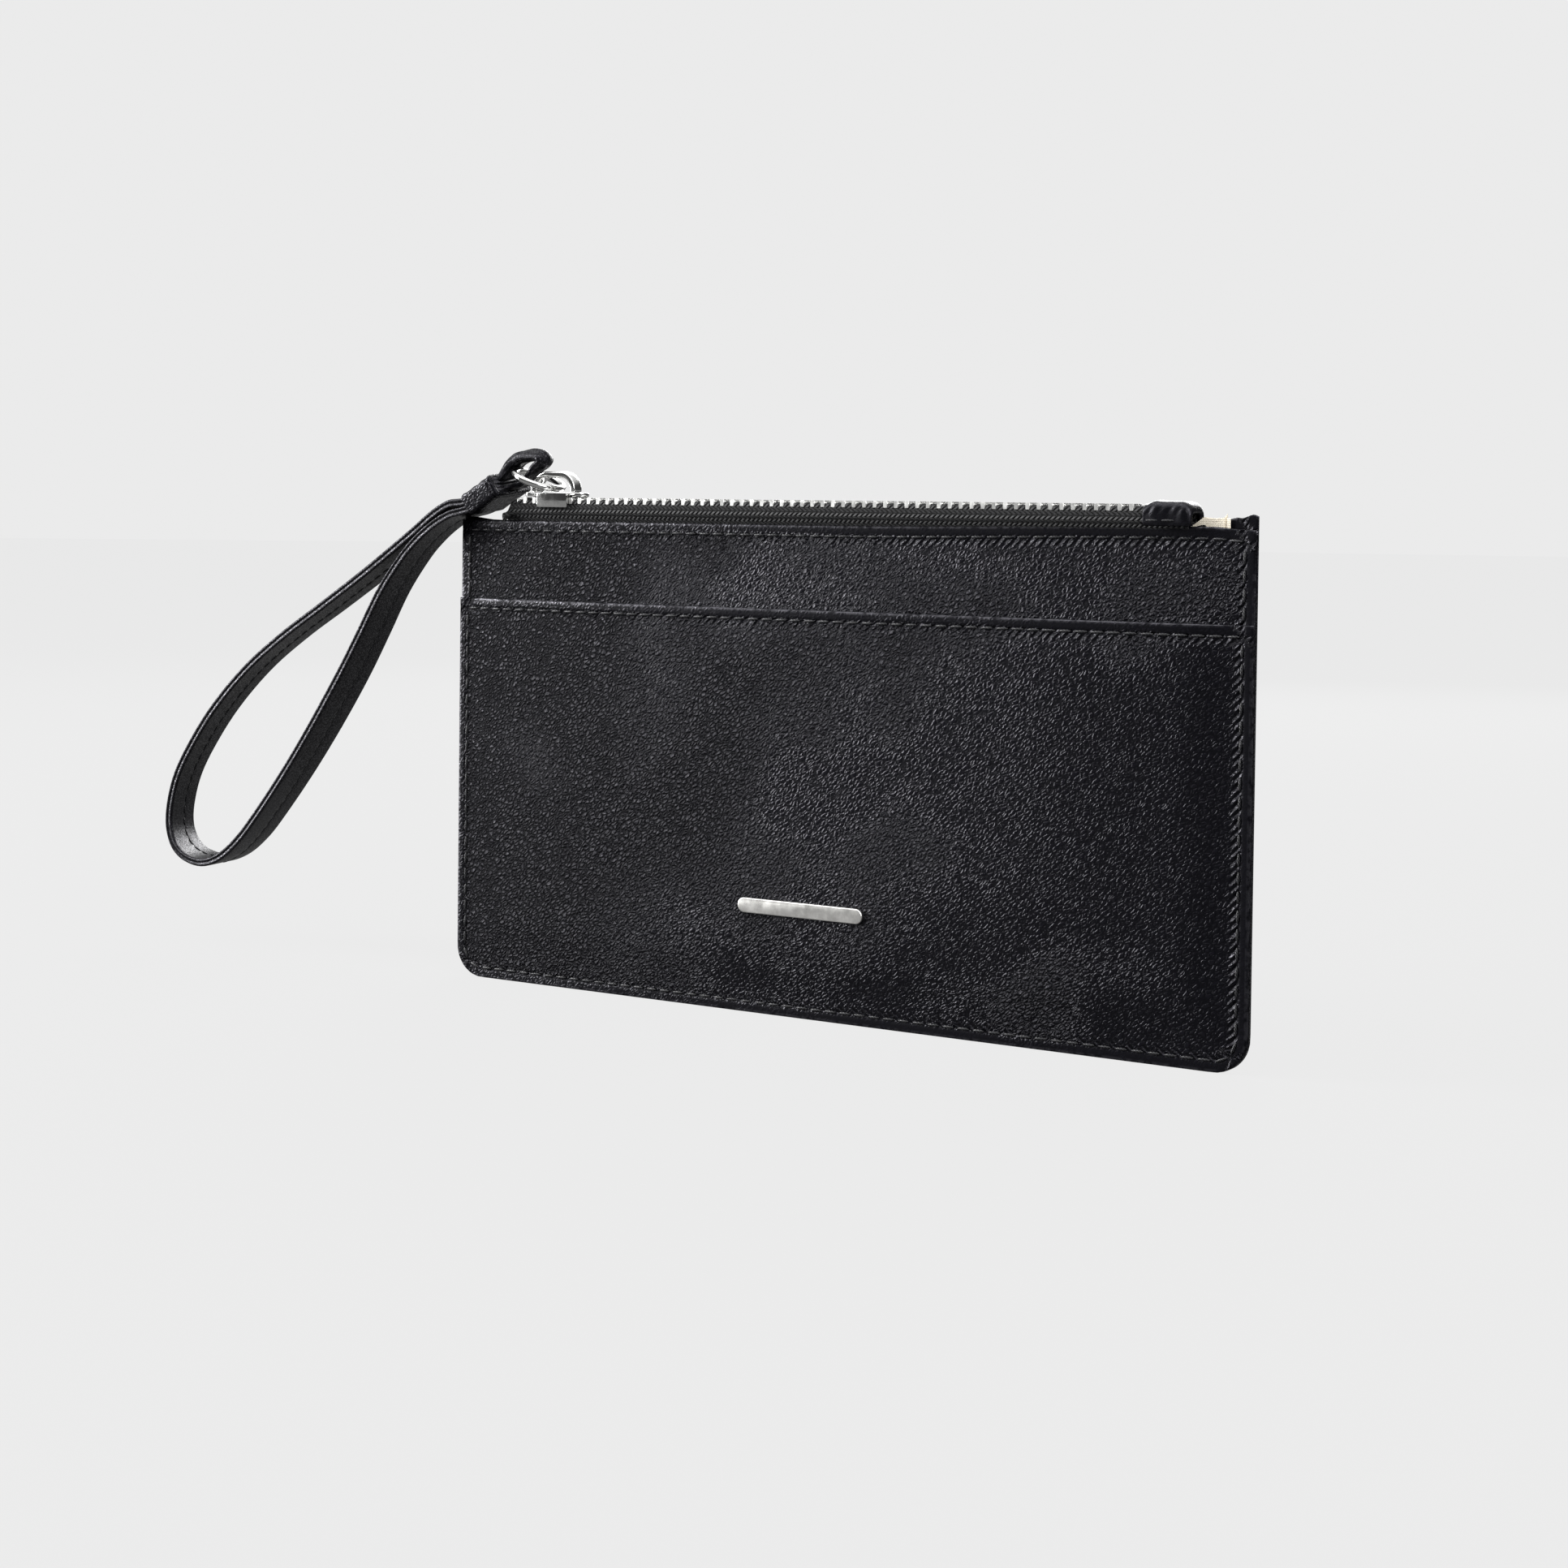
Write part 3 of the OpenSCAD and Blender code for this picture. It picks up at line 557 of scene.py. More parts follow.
def toothTree():
    # a straight row of copies of one tooth
    tree = bpy.data.node_groups.new("toothRow", "GeometryNodeTree")
    addInputs(tree, [("Geometry", "NodeSocketGeometry", None), ("Count", "NodeSocketInt", 60),
                     ("Pitch", "NodeSocketFloat", 0.00254), ("Start", "NodeSocketFloat", 0.0),
                     ("Metal", "NodeSocketMaterial", None)])
    tree.interface.new_socket("Geometry", in_out="OUTPUT", socket_type="NodeSocketGeometry")
    enter, leave = tree.nodes.new("NodeGroupInput"), tree.nodes.new("NodeGroupOutput")
    start = node(tree, "ShaderNodeCombineXYZ", None, X=enter.outputs["Start"])
    step = node(tree, "ShaderNodeCombineXYZ", None, X=enter.outputs["Pitch"])
    line = node(tree, "GeometryNodeMeshLine", None, Count=enter.outputs["Count"])
    tree.links.new(start.outputs[0], line.inputs["Start Location"])
    tree.links.new(step.outputs[0], line.inputs["Offset"])
    placed = node(tree, "GeometryNodeInstanceOnPoints", None, Points=line.outputs[0],
                  Instance=enter.outputs["Geometry"])
    real = node(tree, "GeometryNodeRealizeInstances", None, Geometry=placed.outputs[0])
    done = node(tree, "GeometryNodeSetMaterial", None, Geometry=real.outputs[0], Material=enter.outputs["Metal"])
    tree.links.new(done.outputs[0], leave.inputs[0])
    return tree


threadBars, toothRow = stitchTree(), toothTree()


def runTree(piece, tree, **values):
    modifier = piece.modifiers.new("nodes", "NODES")
    modifier.node_group = tree
    for item in tree.interface.items_tree:
        if item.item_type == "SOCKET" and item.in_out == "INPUT" and item.name in values:
            modifier[item.identifier] = values[item.name]
    return applied(piece)


def stitches(name, points, aims, replaced, body="pouch", length=2.7, width=0.62, turn=0.10, seed=4):
    mesh = bpy.data.meshes.new(name)
    mesh.from_pydata([tuple(q) for q in np.asarray(points) * mm], [], [])
    layerAim = mesh.attributes.new("aim", "FLOAT_VECTOR", "POINT")
    layerAim.data.foreach_set("vector", np.asarray(aims, np.float32).reshape(-1))
    piece = bpy.data.objects.new(name, mesh)
    bpy.context.scene.collection.objects.link(piece)
    runTree(piece, threadBars, Length=length * mm, Width=width * mm, Turn=turn, Seed=seed, Thread=blackThread)
    return settleOn(piece, body, "thread", replaced)


print("leather layers")
layers = {
    "liningIn": 0.3,  # distances from the zip's centre plane, cloth first
    "panelIn": 0.5,
    "panelOut": 1.3,
    "pocketIn": -pocketHigh[1],
    "pocketOut": -pocketLow[1],
    "slotIn": 1.5,
    "slotThickness": 0.6,
    "slotTop": span("card_slot_1")[1][2],
    "slotDrop": 12.7,  # one card slot's edge to the next
    "slotTuck": 3.0,  # how far a strip goes down behind the next
}

for name, side, face, top, replaced in (
        ("front_panel_leather", -1, "panel", pouch["height"], "front_panel"),
        ("back_panel_leather", 1, "panel", pouch["height"], "back_panel"),
        ("pocket_leather", -1, "pocket", pouch["pocketHeight"], "pocket_panel")):
    panel = layer(name, pouchLeather, side, level(layers[face + "In"]), level(layers[face + "Out"]), 0, top,
                  cornerRadius=pouch["cornerRadius"])
    settleOn(panel, "pouch", "leather", replaced)


def slotDepths(k):
    top = layers["slotTop"] - k * layers["slotDrop"]
    foot = top - layers["slotDrop"]
    tail = foot - layers["slotTuck"] if k < 3 else 0.0
    base, thick = layers["slotIn"], layers["slotThickness"]
    tailOut = base + thick * (1 - layers["slotTuck"] / layers["slotDrop"]) if k < 3 else base + thick
    heights = [tail, foot, top]

    def inner(z):
        return np.interp(z, heights, [base, base, base + thick])

    def outer(z):
        return np.interp(z, heights, [tailOut, base + thick, base + 2 * thick])

    return tail, top, inner, outer


for k in range(4):
    tail, top, inner, outer = slotDepths(k)
    lowest = k == 3
    strip = layer(f"card_slot_{k + 1}_leather", slotLeather, 1, inner, outer, tail, top, inset=0.6,
                  cornerRadius=6.4 if lowest else 0.0,
                  seams=("side", "bottom", "top") if lowest else ("side", "top"), puff=0.05)
    settleOn(strip, "pouch", "leather", f"card_slot_{k + 1}")

print("linings")
standing = {
    "rise": 2.4,  # how far the back cloth stands up past the zip's end
    "from": 82.6,
    "to": 83.8,
    "slope": 0.13,  # it gets lower towards the corner
    "cornerFall": 0.9,
    "pullIn": 4.6,  # how far its end is drawn in from the side seam
    "ripple": 0.5,
}


def standUp(points):
    p = points.copy()
    past = smooth(standing["from"], standing["to"], p[:, 0]) * smooth(92, 103, p[:, 2])
    ripple = standing["ripple"] * np.sin((p[:, 0] - 84) * 0.9)
    p[:, 1] += past * 0.7 * ripple * smooth(97, 103, p[:, 2])
    fall = standing["slope"] * np.clip(p[:, 0] - 87.5, 0, 9) + standing["cornerFall"] * smooth(93, 96.5, p[:, 0])
    p[:, 2] += past * (standing["rise"] - fall + 0.12 * ripple)
    p[:, 0] -= smooth(90, 96.5, p[:, 0]) * standing["pullIn"] * smooth(92, 101, p[:, 2])
    return p


for side, word in ((-1, "front"), (1, "back")):
    cloth = layer(f"{word}_lining_cloth", creamCloth, side, level(layers["liningIn"]), level(layers["panelIn"]), 1,
                  pouch["height"] - 1, inset=1.0, cornerRadius=6.0, seams=(), spacing=2.5,
                  extra=standUp if side > 0 else None)
    settleOn(cloth, "pouch", "lining", f"{word}_lining")
for word, side, top in (("pocket", -1, pouch["pocketHeight"] - 2), ("slot", 1, layers["slotTop"] - 3)):
    cloth = layer(f"{word}_lining_cloth", creamCloth, side, level(layers["panelOut"]), level(layers["slotIn"]), 1,
                  top, inset=1.0, cornerRadius=6.0, seams=())
    settleOn(cloth, "pouch", "lining", f"{word}_lining")

print("stitches")
stitching = {
    "pitch": 3.5,  # one stitch to the next
    "sink": 0.08,  # how deep the thread lies in the leather
    "cornerAngles": (22.5, 67.5),
}


def rowPoints(start, end, y, side):
    # evenly spaced points from start to end, (x, z) pairs, on a layer's outer face
    start, end = np.array(start, float), np.array(end, float)
    count = max(1, int(np.linalg.norm(end - start) // stitching["pitch"]))
    t = (np.arange(count) + 0.5) / count
    flat = start + (end - start) * t[:, None]
    depth = np.array([y(z) for z in flat[:, 1]]) if callable(y) else np.full(count, y)
    return np.stack([flat[:, 0], side * depth, flat[:, 1]], 1)


def cornerPoints(y, side):
    r, s = pouch["cornerRadius"], pouch["seamInset"]
    points = []
    for sign in (-1, 1):
        for angle in stitching["cornerAngles"]:
            a = math.radians(angle)
            x = sign * (pouch["halfWidth"] - r + (r - s) * math.cos(a))
            points.append([x, side * y, r - (r - s) * math.sin(a)])
    return np.array(points)


def seamStitches(name, groups, replaced, **options):
    # groups of (points, aim), settled with the pouch; the aim is found by settling a point a little further on
    allPoints, allAims = [], []
    for points, aim in groups:
        ahead = settle(points + np.asarray(aim) * 1.2)
        behind = settle(points - np.asarray(aim) * 1.2)
        allPoints.append(settle(points))
        allAims.append((ahead - behind) / np.linalg.norm(ahead - behind, axis=1)[:, None])
    return stitches(name, np.vstack(allPoints), np.vstack(allAims), replaced, **options)


inset, halfWidth, height, pocketTop = pouch["seamInset"], pouch["halfWidth"], pouch["height"], pouch["pocketHeight"]
panelFace, pocketFace = layers["panelOut"] - stitching["sink"], layers["pocketOut"] - stitching["sink"]
aimX, aimZ = [1, 0, 0], [0, 0, 1]


def slotFace(z):
    if z > layers["slotTop"]:
        return layers["panelOut"] - 0.1
    k = min(int((layers["slotTop"] - z) // layers["slotDrop"]), 3)
    return float(slotDepths(k)[3](z)) - stitching["sink"]


for name, top, face, side, replaced in (
        ("top_seam_front", height, panelFace, -1, "top_stitch_front"),
        ("top_seam_back", height, panelFace, 1, "top_stitch_back"),
        ("pocket_seam", pocketTop, pocketFace, -1, "pocket_stitch")):
    row = rowPoints((inset - halfWidth, top - inset), (halfWidth - inset, top - inset), face, side)
    seamStitches(name, [(row, aimX)], replaced)

sideRows, backRows = [], []
for sign in (-1, 1):
    edge = sign * (halfWidth - inset)
    sideRows.append((rowPoints((edge, 7), (edge, pocketTop - inset - 1), pocketFace, -1), aimZ))
    sideRows.append((rowPoints((edge, pocketTop + 0.3), (edge, height - inset - 1), panelFace, -1), aimZ))
    backRows.append((rowPoints((edge, 7), (edge, height - inset - 1), slotFace, 1), aimZ))
sideRows.append((rowPoints((7 - halfWidth, inset), (halfWidth - 7, inset), pocketFace, -1), aimX))
backRows.append((rowPoints((7 - halfWidth, inset), (halfWidth - 7, inset), slotFace(inset), 1), aimX))
for rows, depth, side in ((sideRows, pocketFace, -1), (backRows, slotFace(inset), 1)):
    corners = cornerPoints(depth, side)
    for q, slant in zip(corners, ((1, -2.4), (2.4, -1), (-1, -2.4), (-2.4, -1))):
        rows.append((q[None, :], np.array([slant[0], 0, slant[1]]) / math.hypot(*slant)))
seamStitches("side_seam_front", sideRows, "side_stitch_front")
seamStitches("side_seam_back", backRows, "side_stitch_back")
slotRows = [(rowPoints((0, inset + 1.5), (0, layers["slotTop"] - 0.5), slotFace, 1), aimZ)]
for k in range(4):
    z = layers["slotTop"] - k * layers["slotDrop"] - 1.6
    for sign in (-1, 1):
        slotRows.append((rowPoints((sign * 2, z), (sign * (halfWidth - inset - 1.5), z), slotFace, 1), aimX))
seamStitches("slot_seam", slotRows, "slot_stitch", width=0.5)

print("zip")
zipper = {
    "pitch": 2.54,  # one tooth to the next on the same tape
    "share": 0.52,  # a tooth's length along the tape, as a share of the pitch
    "toothLength": 1.18,
    "headGap": 0.64,  # the zip's centre plane to a tooth's head, and to its far end
    "outerEdge": 3.10,
    "bottom": 108.0,
    "top": 109.4,
    "beadRadius": 0.74,  # the tape's rolled edge, which the teeth grip
    "beadAt": 2.3,
    "beadHeight": 107.95,
    "beadSwell": (0.16, 0.36),  # how it bulges between two teeth, sideways and up
    "tapeHalf": 0.2,
    "endFold": 3.2,  # how far the tape's left end turns down
}


def toothTemplate(side):
    # a rounded block with a waisted head, wider where it grips the tape's bead
    half, gap, out = zipper["toothLength"] / 2, zipper["headGap"], zipper["outerEdge"]
    low, high = zipper["bottom"], zipper["top"]
    outline = [(gap, 0.36), (gap + 0.35, 0.52), (gap + 0.9, 0.40), (gap + 1.3, half), (out - 0.25, half),
               (out, half * 0.7)]
    loop = [(y, x) for y, x in outline] + [(y, -x) for y, x in reversed(outline)]
    points, faces = [], []
    rings = ((low, 0.86), (low + 0.22, 1.0), (high - 0.22, 1.0), (high - 0.05, 0.88))
    centre = (gap + out) / 2
    for z, scale in rings:
        points += [(x * scale, side * (centre + (y - centre) * (0.92 + 0.08 * scale)), z) for y, x in loop]
    n = len(loop)
    for ring in range(len(rings) - 1):
        for i in range(n):
            j = (i + 1) % n
            faces.append((ring * n + i, ring * n + j, (ring + 1) * n + j, (ring + 1) * n + i))
    faces += [tuple(range(n)), tuple(range((len(rings) - 1) * n, len(rings) * n))]
    return meshObject("tooth", points, faces, toothMetal, smoothFaces=False)


for side, word in ((-1, "front"), (1, "back")):
    teeth = toothTemplate(side)
    teeth.name = f"zip_{word}_row"
    low, high = span(f"zip_teeth_{word}")
    start = low[0] + zipper["share"] * zipper["pitch"] / 2
    count = int(round((high[0] - low[0] - zipper["share"] * zipper["pitch"]) / zipper["pitch"])) + 1
    runTree(teeth, toothRow, Count=count, Pitch=zipper["pitch"] * mm, Start=start * mm, Metal=toothMetal)
    teeth.data.set_sharp_from_angle(angle=math.radians(50))
    settleOn(teeth, "pouch", "zip_metal", f"zip_teeth_{word}")


def tapePiece(side, word):
    # woven tape: hidden foot, flare, and a rolled bead that the teeth grip
    top, bead, thin = pouch["height"], zipper["beadAt"], zipper["tapeHalf"]
    spine = [(0.72, tapeLow[2]), (0.72, 100), (0.74, top - 0.6), (1.0, top + 0.35), (1.75, top + 1.05),
             (2.45, top + 1.75), (2.72, top + 2.4), (2.78, top + 3.0)]
    outer, inner = [], []
    for i, (y, z) in enumerate(spine):
        a, b = np.array(spine[max(i - 1, 0)]), np.array(spine[min(i + 1, len(spine) - 1)])
        d = (b - a) / np.linalg.norm(b - a)
        outer.append((y + d[1] * thin, z - d[0] * thin))
        inner.append((y - d[1] * thin, z + d[0] * thin))
    radius, beadZ = zipper["beadRadius"], zipper["beadHeight"]
    arc = [(bead + radius * math.cos(a), beadZ + radius * math.sin(a))
           for a in np.linspace(-0.5, math.pi + 0.5, 11)]
    profile = outer[:-1] + arc + inner[::-1][1:]
    xs = np.arange(tapeLow[0], tapeHigh[0], zipper["pitch"] / 4)
    phase = 0.0 if side < 0 else 0.5
    sections = np.zeros((len(xs), len(profile), 2))
    first = chainLow[0] + zipper["share"] * zipper["pitch"] / 2
    swellOut, swellUp = zipper["beadSwell"]
    for i, x in enumerate(xs):
        between = 0.5 - 0.5 * math.cos(2 * math.pi * ((x - first) / zipper["pitch"] + phase))
        for j, (y, z) in enumerate(profile):
            onBead = smooth(beadZ - 0.4, beadZ + 0.5, z)
            grow, dent = between * onBead, (1 - between) * onBead
            end = smooth(tapeLow[0] + 3.4, tapeLow[0], x) * smooth(top + 0.3, top + 3, z)
            out = side * (y + swellOut * (grow - dent))
            sections[i, j] = (out, z + swellUp * grow - zipper["endFold"] * end)
    path = np.stack([xs, 0 * xs, 0 * xs], 1)
    across = np.tile([0.0, 1.0, 0.0], (len(xs), 1))
    away = np.tile([0.0, 0.0, 1.0], (len(xs), 1))
    piece = sweep(f"zip_{word}_tape", path, across, away, sections, zipWeave)
    return settleOn(piece, "pouch", "zip_tape", f"zip_tape_{word}")


tapePiece(-1, "front")
tapePiece(1, "back")
for stop, name, bevel in (("zip_top_stops", "zip_top_stop_pair", 0.35),
                          ("zip_bottom_stop", "zip_bottom_stop_box", 0.3)):
    settleOn(refined(stop, name, toothMetal, bevel, 3), "pouch", "zip_metal", stop)

print("end tab")
endTab = {
    "thickness": 0.75,
    "endDrop": 2.2,  # how far its right end rounds down, over this length
    "endLength": 2.6,
    "endNarrow": 0.35,  # and how much narrower it gets there
    "leftDrop": 1.0,  # the slant of its left edge
    "wrinkle": 0.16,
}


def endTabPiece():
    # leather folded over the chain's end; a closed shell open below and at the left
    x0, x1, z0, z1, wide = tabLow[0], tabHigh[0], tabLow[2], tabHigh[2], tabHigh[1]
    stops = np.concatenate([[x0, x0 + 0.12, x0 + 0.35], np.linspace(x0 + 0.8, x1 - 2.4, 14),
                            x1 - 2.4 + 2.4 * np.sin(np.linspace(0.12, 1, 9) * math.pi / 2)])
    c, s = np.cos(np.linspace(0, math.pi, 41)), np.sin(np.linspace(0, math.pi, 41))
    outline = np.stack([np.sign(-c) * np.abs(c) ** 0.42, np.abs(s) ** 0.40], 1)
    outerRows, innerRows = [], []
    for x in stops:
        e = np.clip((x - (x1 - endTab["endLength"])) / endTab["endLength"], 0, 1)
        rounding = 1 - math.sqrt(max(0.0, 1 - e * e))
        lip = 0.22 * (1 - smooth(0.0, 0.9, x - x0)) + 0.2 * (1 - smooth(2.7, 3.1, x - x0))
        slant = endTab["leftDrop"] * (1 - smooth(-0.2, 2.6, x - x0))
        top = z1 - endTab["endDrop"] * rounding + lip - slant
        y = outline[:, 0] * wide * (1 - endTab["endNarrow"] * rounding)
        z = z0 + outline[:, 1] * (top - z0)
        ripple = endTab["wrinkle"] * np.sin(x * 3.1 + 2 * np.sin(z * 0.9)) * smooth(z0 + 1.5, z0 + 3.2, z)
        y = y + np.sign(y) * (ripple * 0.6 + 0.12 * np.sin(x * 0.9 + 1))
        outerRows.append(np.stack([np.full_like(y, x), y, z], 1))
        xIn = min(x, x1 - endTab["thickness"])
        yIn = y * (1 - endTab["thickness"] / wide)
        innerRows.append(np.stack([np.full_like(y, xIn), yIn, z0 + (z - z0) * 0.84], 1))
    rows = outerRows + innerRows[::-1]
    n, m = len(rows), len(outline)
    index = np.arange(n * m).reshape(n, m)
    faces = gridFaces(n, m, index)
    faces += [(index[-1, k], index[0, k], index[0, k + 1], index[-1, k + 1]) for k in range(m - 1)]
    for i in range(n // 2 - 1):
        for k in (0, m - 1):
            faces.append((index[i, k], index[i + 1, k], index[n - 2 - i, k], index[n - 1 - i, k]))
    piece = meshObject("zip_end_tab_leather", np.vstack(rows), faces, keeperLeather)
    ease = piece.modifiers.new("round", "SUBSURF")
    ease.levels = ease.render_levels = 1
    return settleOn(applied(piece), "pouch", "leather", "zip_end_tab")


endTabPiece()
tabRow = []
for side in (-1, 1):
    xs = np.arange(tabLow[0] + 2.0, tabHigh[0] - 2, stitching["pitch"])
    face, line = np.full_like(xs, side * (tabHigh[1] - 0.02)), np.full_like(xs, tabLow[2] + 1.2)
    tabRow.append(np.stack([xs, face, line], 1))
tabPoints = np.vstack(tabRow)
stitches("end_tab_seam", tabPoints, np.tile(aimX, (len(tabPoints), 1)), "end_tab_stitch", width=0.5)

print("badge")
badgeSizes = {"bevel": 0.28, "proud": 0.12}  # how far it stands off the slack leather
badge = refined("badge_bar", "badge_plain_bar", badgeMetal, badgeSizes["bevel"], 4)
badgeMiddle = sum(span("badge_bar")) / 2
badgeFace = np.array([[badgeMiddle[0], -layers["pocketOut"], badgeMiddle[2]]])
badgeShift = settle(badgeFace)[0, 1] - badgeFace[0, 1] - badgeSizes["proud"]
badge.data.transform(Matrix.Translation((0, badgeShift * mm, 0)))
settleOn(badge, "pouch", "badge_metal", "badge_bar")

print("slider and ring")
settleOn(refined("slider_body", "slider_cast_body", chrome, 0.30, 4), "slider", "chrome", "slider_body")
settleOn(refined("slider_bail", "slider_bridge", chrome, 0.42, 5), "slider", "chrome", "slider_bail")
ringSizes = {
    "wire": 0.75,  # radius of the wire, and of its centre line
    "radius": 5.6,
    "tilt": 20,  # degrees, its far side up
    "around": 96,
    "sides": 20,
}


def ringPiece():
    low, high = span("pull_ring")
    centre = (low + high) / 2
    tilt = math.radians(ringSizes["tilt"])
    a = np.linspace(0, 2 * math.pi, ringSizes["around"], endpoint=False)
    outward = np.stack([np.cos(a) * math.cos(tilt), np.sin(a), -np.cos(a) * math.sin(tilt)], 1)
    upward = np.tile([math.sin(tilt), 0, math.cos(tilt)], (len(a), 1))
    b = np.linspace(0, 2 * math.pi, ringSizes["sides"], endpoint=False)
    section = np.stack([np.cos(b), np.sin(b)], 1) * ringSizes["wire"]
    sections = np.tile(section, (len(a), 1, 1))
    return sweep("ring_wire", centre + outward * ringSizes["radius"], outward, upward, sections, chrome, closed=True)


settleOn(ringPiece(), "ring", "chrome", "pull_ring")

print("wrist strap")
strap = {
    "width": 12.0,
    "ply": 0.9,  # thickness of one of the two plies
    "seam": 0.84,  # the seam's distance from the strap's middle line
    "edgeRound": 0.34,
    "strandGap": 0.1,  # between the two strands in the keeper
    "keeperLength": 9.6,
    "keeperTurn": 30,  # degrees
    "keeperShift": (-6.9, -4.9),  # from the ring's far wire to the keeper's middle
    "keeperLean": 2.6,  # how far its far edge leans to the left
    "leanAlong": ([0, 0.06, 0.2, 0.32, 0.42, 0.5, 0.58, 0.75, 0.92, 1.0],
                  [2.6, 2.4, 2.6, 3.2, 3.6, 4.2, 1.6, 1.0, 2.2, 2.6]),  # share of the loop, lean there
    "stitchPitch": 2.9,
}
ringTilt = math.radians(ringSizes["tilt"])
ringCentre = (ringLow + ringHigh) / 2
farWire = np.array([ringCentre[0] - ringSizes["radius"] * math.cos(ringTilt),
                    ringCentre[2] + ringSizes["radius"] * math.sin(ringTilt)])
# the strap's middle line, in X and Z from the ring's far wire: through the ring, and round the loop
eyeRoute = [[-1.9, 1.1], [0.6, 2.9], [3.4, 3.85], [5.1, 4.05], [6.5, 3.85], [7.5, 3.1], [7.6, 1.95], [6.7, 1.1],
            [5.1, 0.3], [2.9, -1.5], [0.8, -2.9]]
loopRoute = [[-17.0, -7.6], [-21.8, -9.9], [-28.6, -14.6], [-41.9, -23.4], [-55.4, -31.7], [-67.9, -39.2],
             [-79.4, -47.2], [-89.6, -56.5], [-97.4, -65.8], [-103.3, -75.2], [-105.8, -84.4], [-104.7, -90.4],
             [-100.6, -94.0], [-94.1, -95.2], [-87.6, -93.2], [-81.4, -88.6], [-75.4, -82.2], [-67.6, -72.9],
             [-60.6, -63.8], [-54.1, -54.7], [-48.2, -45.9], [-42.8, -37.1], [-37.2, -27.8], [-31.0, -20.0],
             [-26.4, -15.6], [-21.6, -12.2], [-16.8, -9.9]]
keeperCentre = farWire + np.array(strap["keeperShift"])
keeperAngle = math.radians(strap["keeperTurn"])
keeperAxis = np.array([math.cos(keeperAngle), math.sin(keeperAngle)])
keeperSide = np.array([-math.sin(keeperAngle), math.cos(keeperAngle)])


def keeperAt(end, side, extra=0.0):
    strand = strap["ply"] + strap["strandGap"] / 2
    return keeperCentre + keeperAxis * end * (strap["keeperLength"] / 2 + extra) + keeperSide * side * strand


def curveThrough(points, steps):
    # smooth curve through the points; the first and last only steer it
    p = np.array(points, float)
    out = []
    for i in range(1, len(p) - 2):
        for t in np.arange(steps) / steps:
            a, b, c, d = p[i - 1], p[i], p[i + 1], p[i + 2]
            out.append(0.5 * (2 * b + (c - a) * t + (2 * a - 5 * b + 4 * c - d) * t ** 2
                              + (3 * b - a - 3 * c + d) * t ** 3))
    return np.array(out + [p[-2]])


def frames(line, lean):
    # tangent, across and away for a line in X and Z; lean pushes the far edge towards -X
    path = np.stack([line[:, 0], 0 * line[:, 0], line[:, 1]], 1)
    tangent = np.gradient(path, axis=0)
    tangent /= np.linalg.norm(tangent, axis=1)[:, None]
    across = np.stack([-lean / strap["width"], np.ones(len(line)), 0 * lean], 1)
    across -= tangent * np.sum(across * tangent, 1)[:, None]
    across /= np.linalg.norm(across, axis=1)[:, None]
    away = np.cross(tangent, across)
    flip = np.sum(away * np.stack([-tangent[:, 2], 0 * lean, tangent[:, 0]], 1), 1) < 0
    away[flip] *= -1
    return path, across, away


loopLine = curveThrough([keeperAt(1, 1), keeperAt(-1, 1)] + [farWire + np.array(q) for q in loopRoute]
                        + [keeperAt(-1, -1), keeperAt(1, -1)], 6)
loopLine = np.vstack([keeperAt(1, 1), loopLine, keeperAt(1, -1)])
travelled = np.concatenate([[0], np.cumsum(np.linalg.norm(np.diff(loopLine, axis=0), axis=1))])
share = travelled / travelled[-1]
leanAlong = np.interp(share, *strap["leanAlong"])
kernel = np.ones(9) / 9
leanAlong = np.convolve(np.pad(leanAlong, 4, mode="edge"), kernel, "valid")
loopPath, loopAcross, loopAway = frames(loopLine, leanAlong)


def plySection(side):
    # one ply: flat where the plies meet, crowned outside, with round painted edges and a sunk seam
    half, thick, r = strap["width"] / 2, strap["ply"], strap["edgeRound"]
    ws = np.concatenate([-half + r * (1 - np.cos(np.linspace(0, math.pi / 2, 6))), [-half + 0.9, -4, -2.4, -0.8],
                         strap["seam"] + np.array([-0.6, -0.3, 0, 0.3, 0.6]), [2.6, 4.2, half - 0.9],
                         half - r * (1 - np.cos(np.linspace(math.pi / 2, 0, 6)))])
    gap = half - np.abs(ws)
    rise = thick - r + r * np.sqrt(np.clip(1 - (1 - np.clip(gap / r, 0, 1)) ** 2, 0, 1))
    rise += (0.06 if side < 0 else -0.03) * np.sqrt(np.clip(gap / 2, 0, 1))
    rise -= 0.14 * np.exp(-((ws - strap["seam"]) / 0.3) ** 2)
    outer = np.stack([ws, side * rise], 1)
    inner = np.array([[half, side * 0.012], [0, side * 0.012], [-half, side * 0.012]])
    return np.vstack([outer, inner])


strapPieces = []
for side, word in ((-1, "outer"), (1, "inner")):
    section = plySection(side)
    piece = sweep(f"strap_{word}_leather", loopPath, loopAcross, loopAway, np.tile(section, (len(loopPath), 1, 1)),
                  strapLeather)
    strapPieces.append(settleOn(piece, "strap", "strap_leather", f"strap_{word}_ply"))


def alongLoop(s, values):
    return np.array([np.interp(s, share, values[:, i]) for i in range(3)])


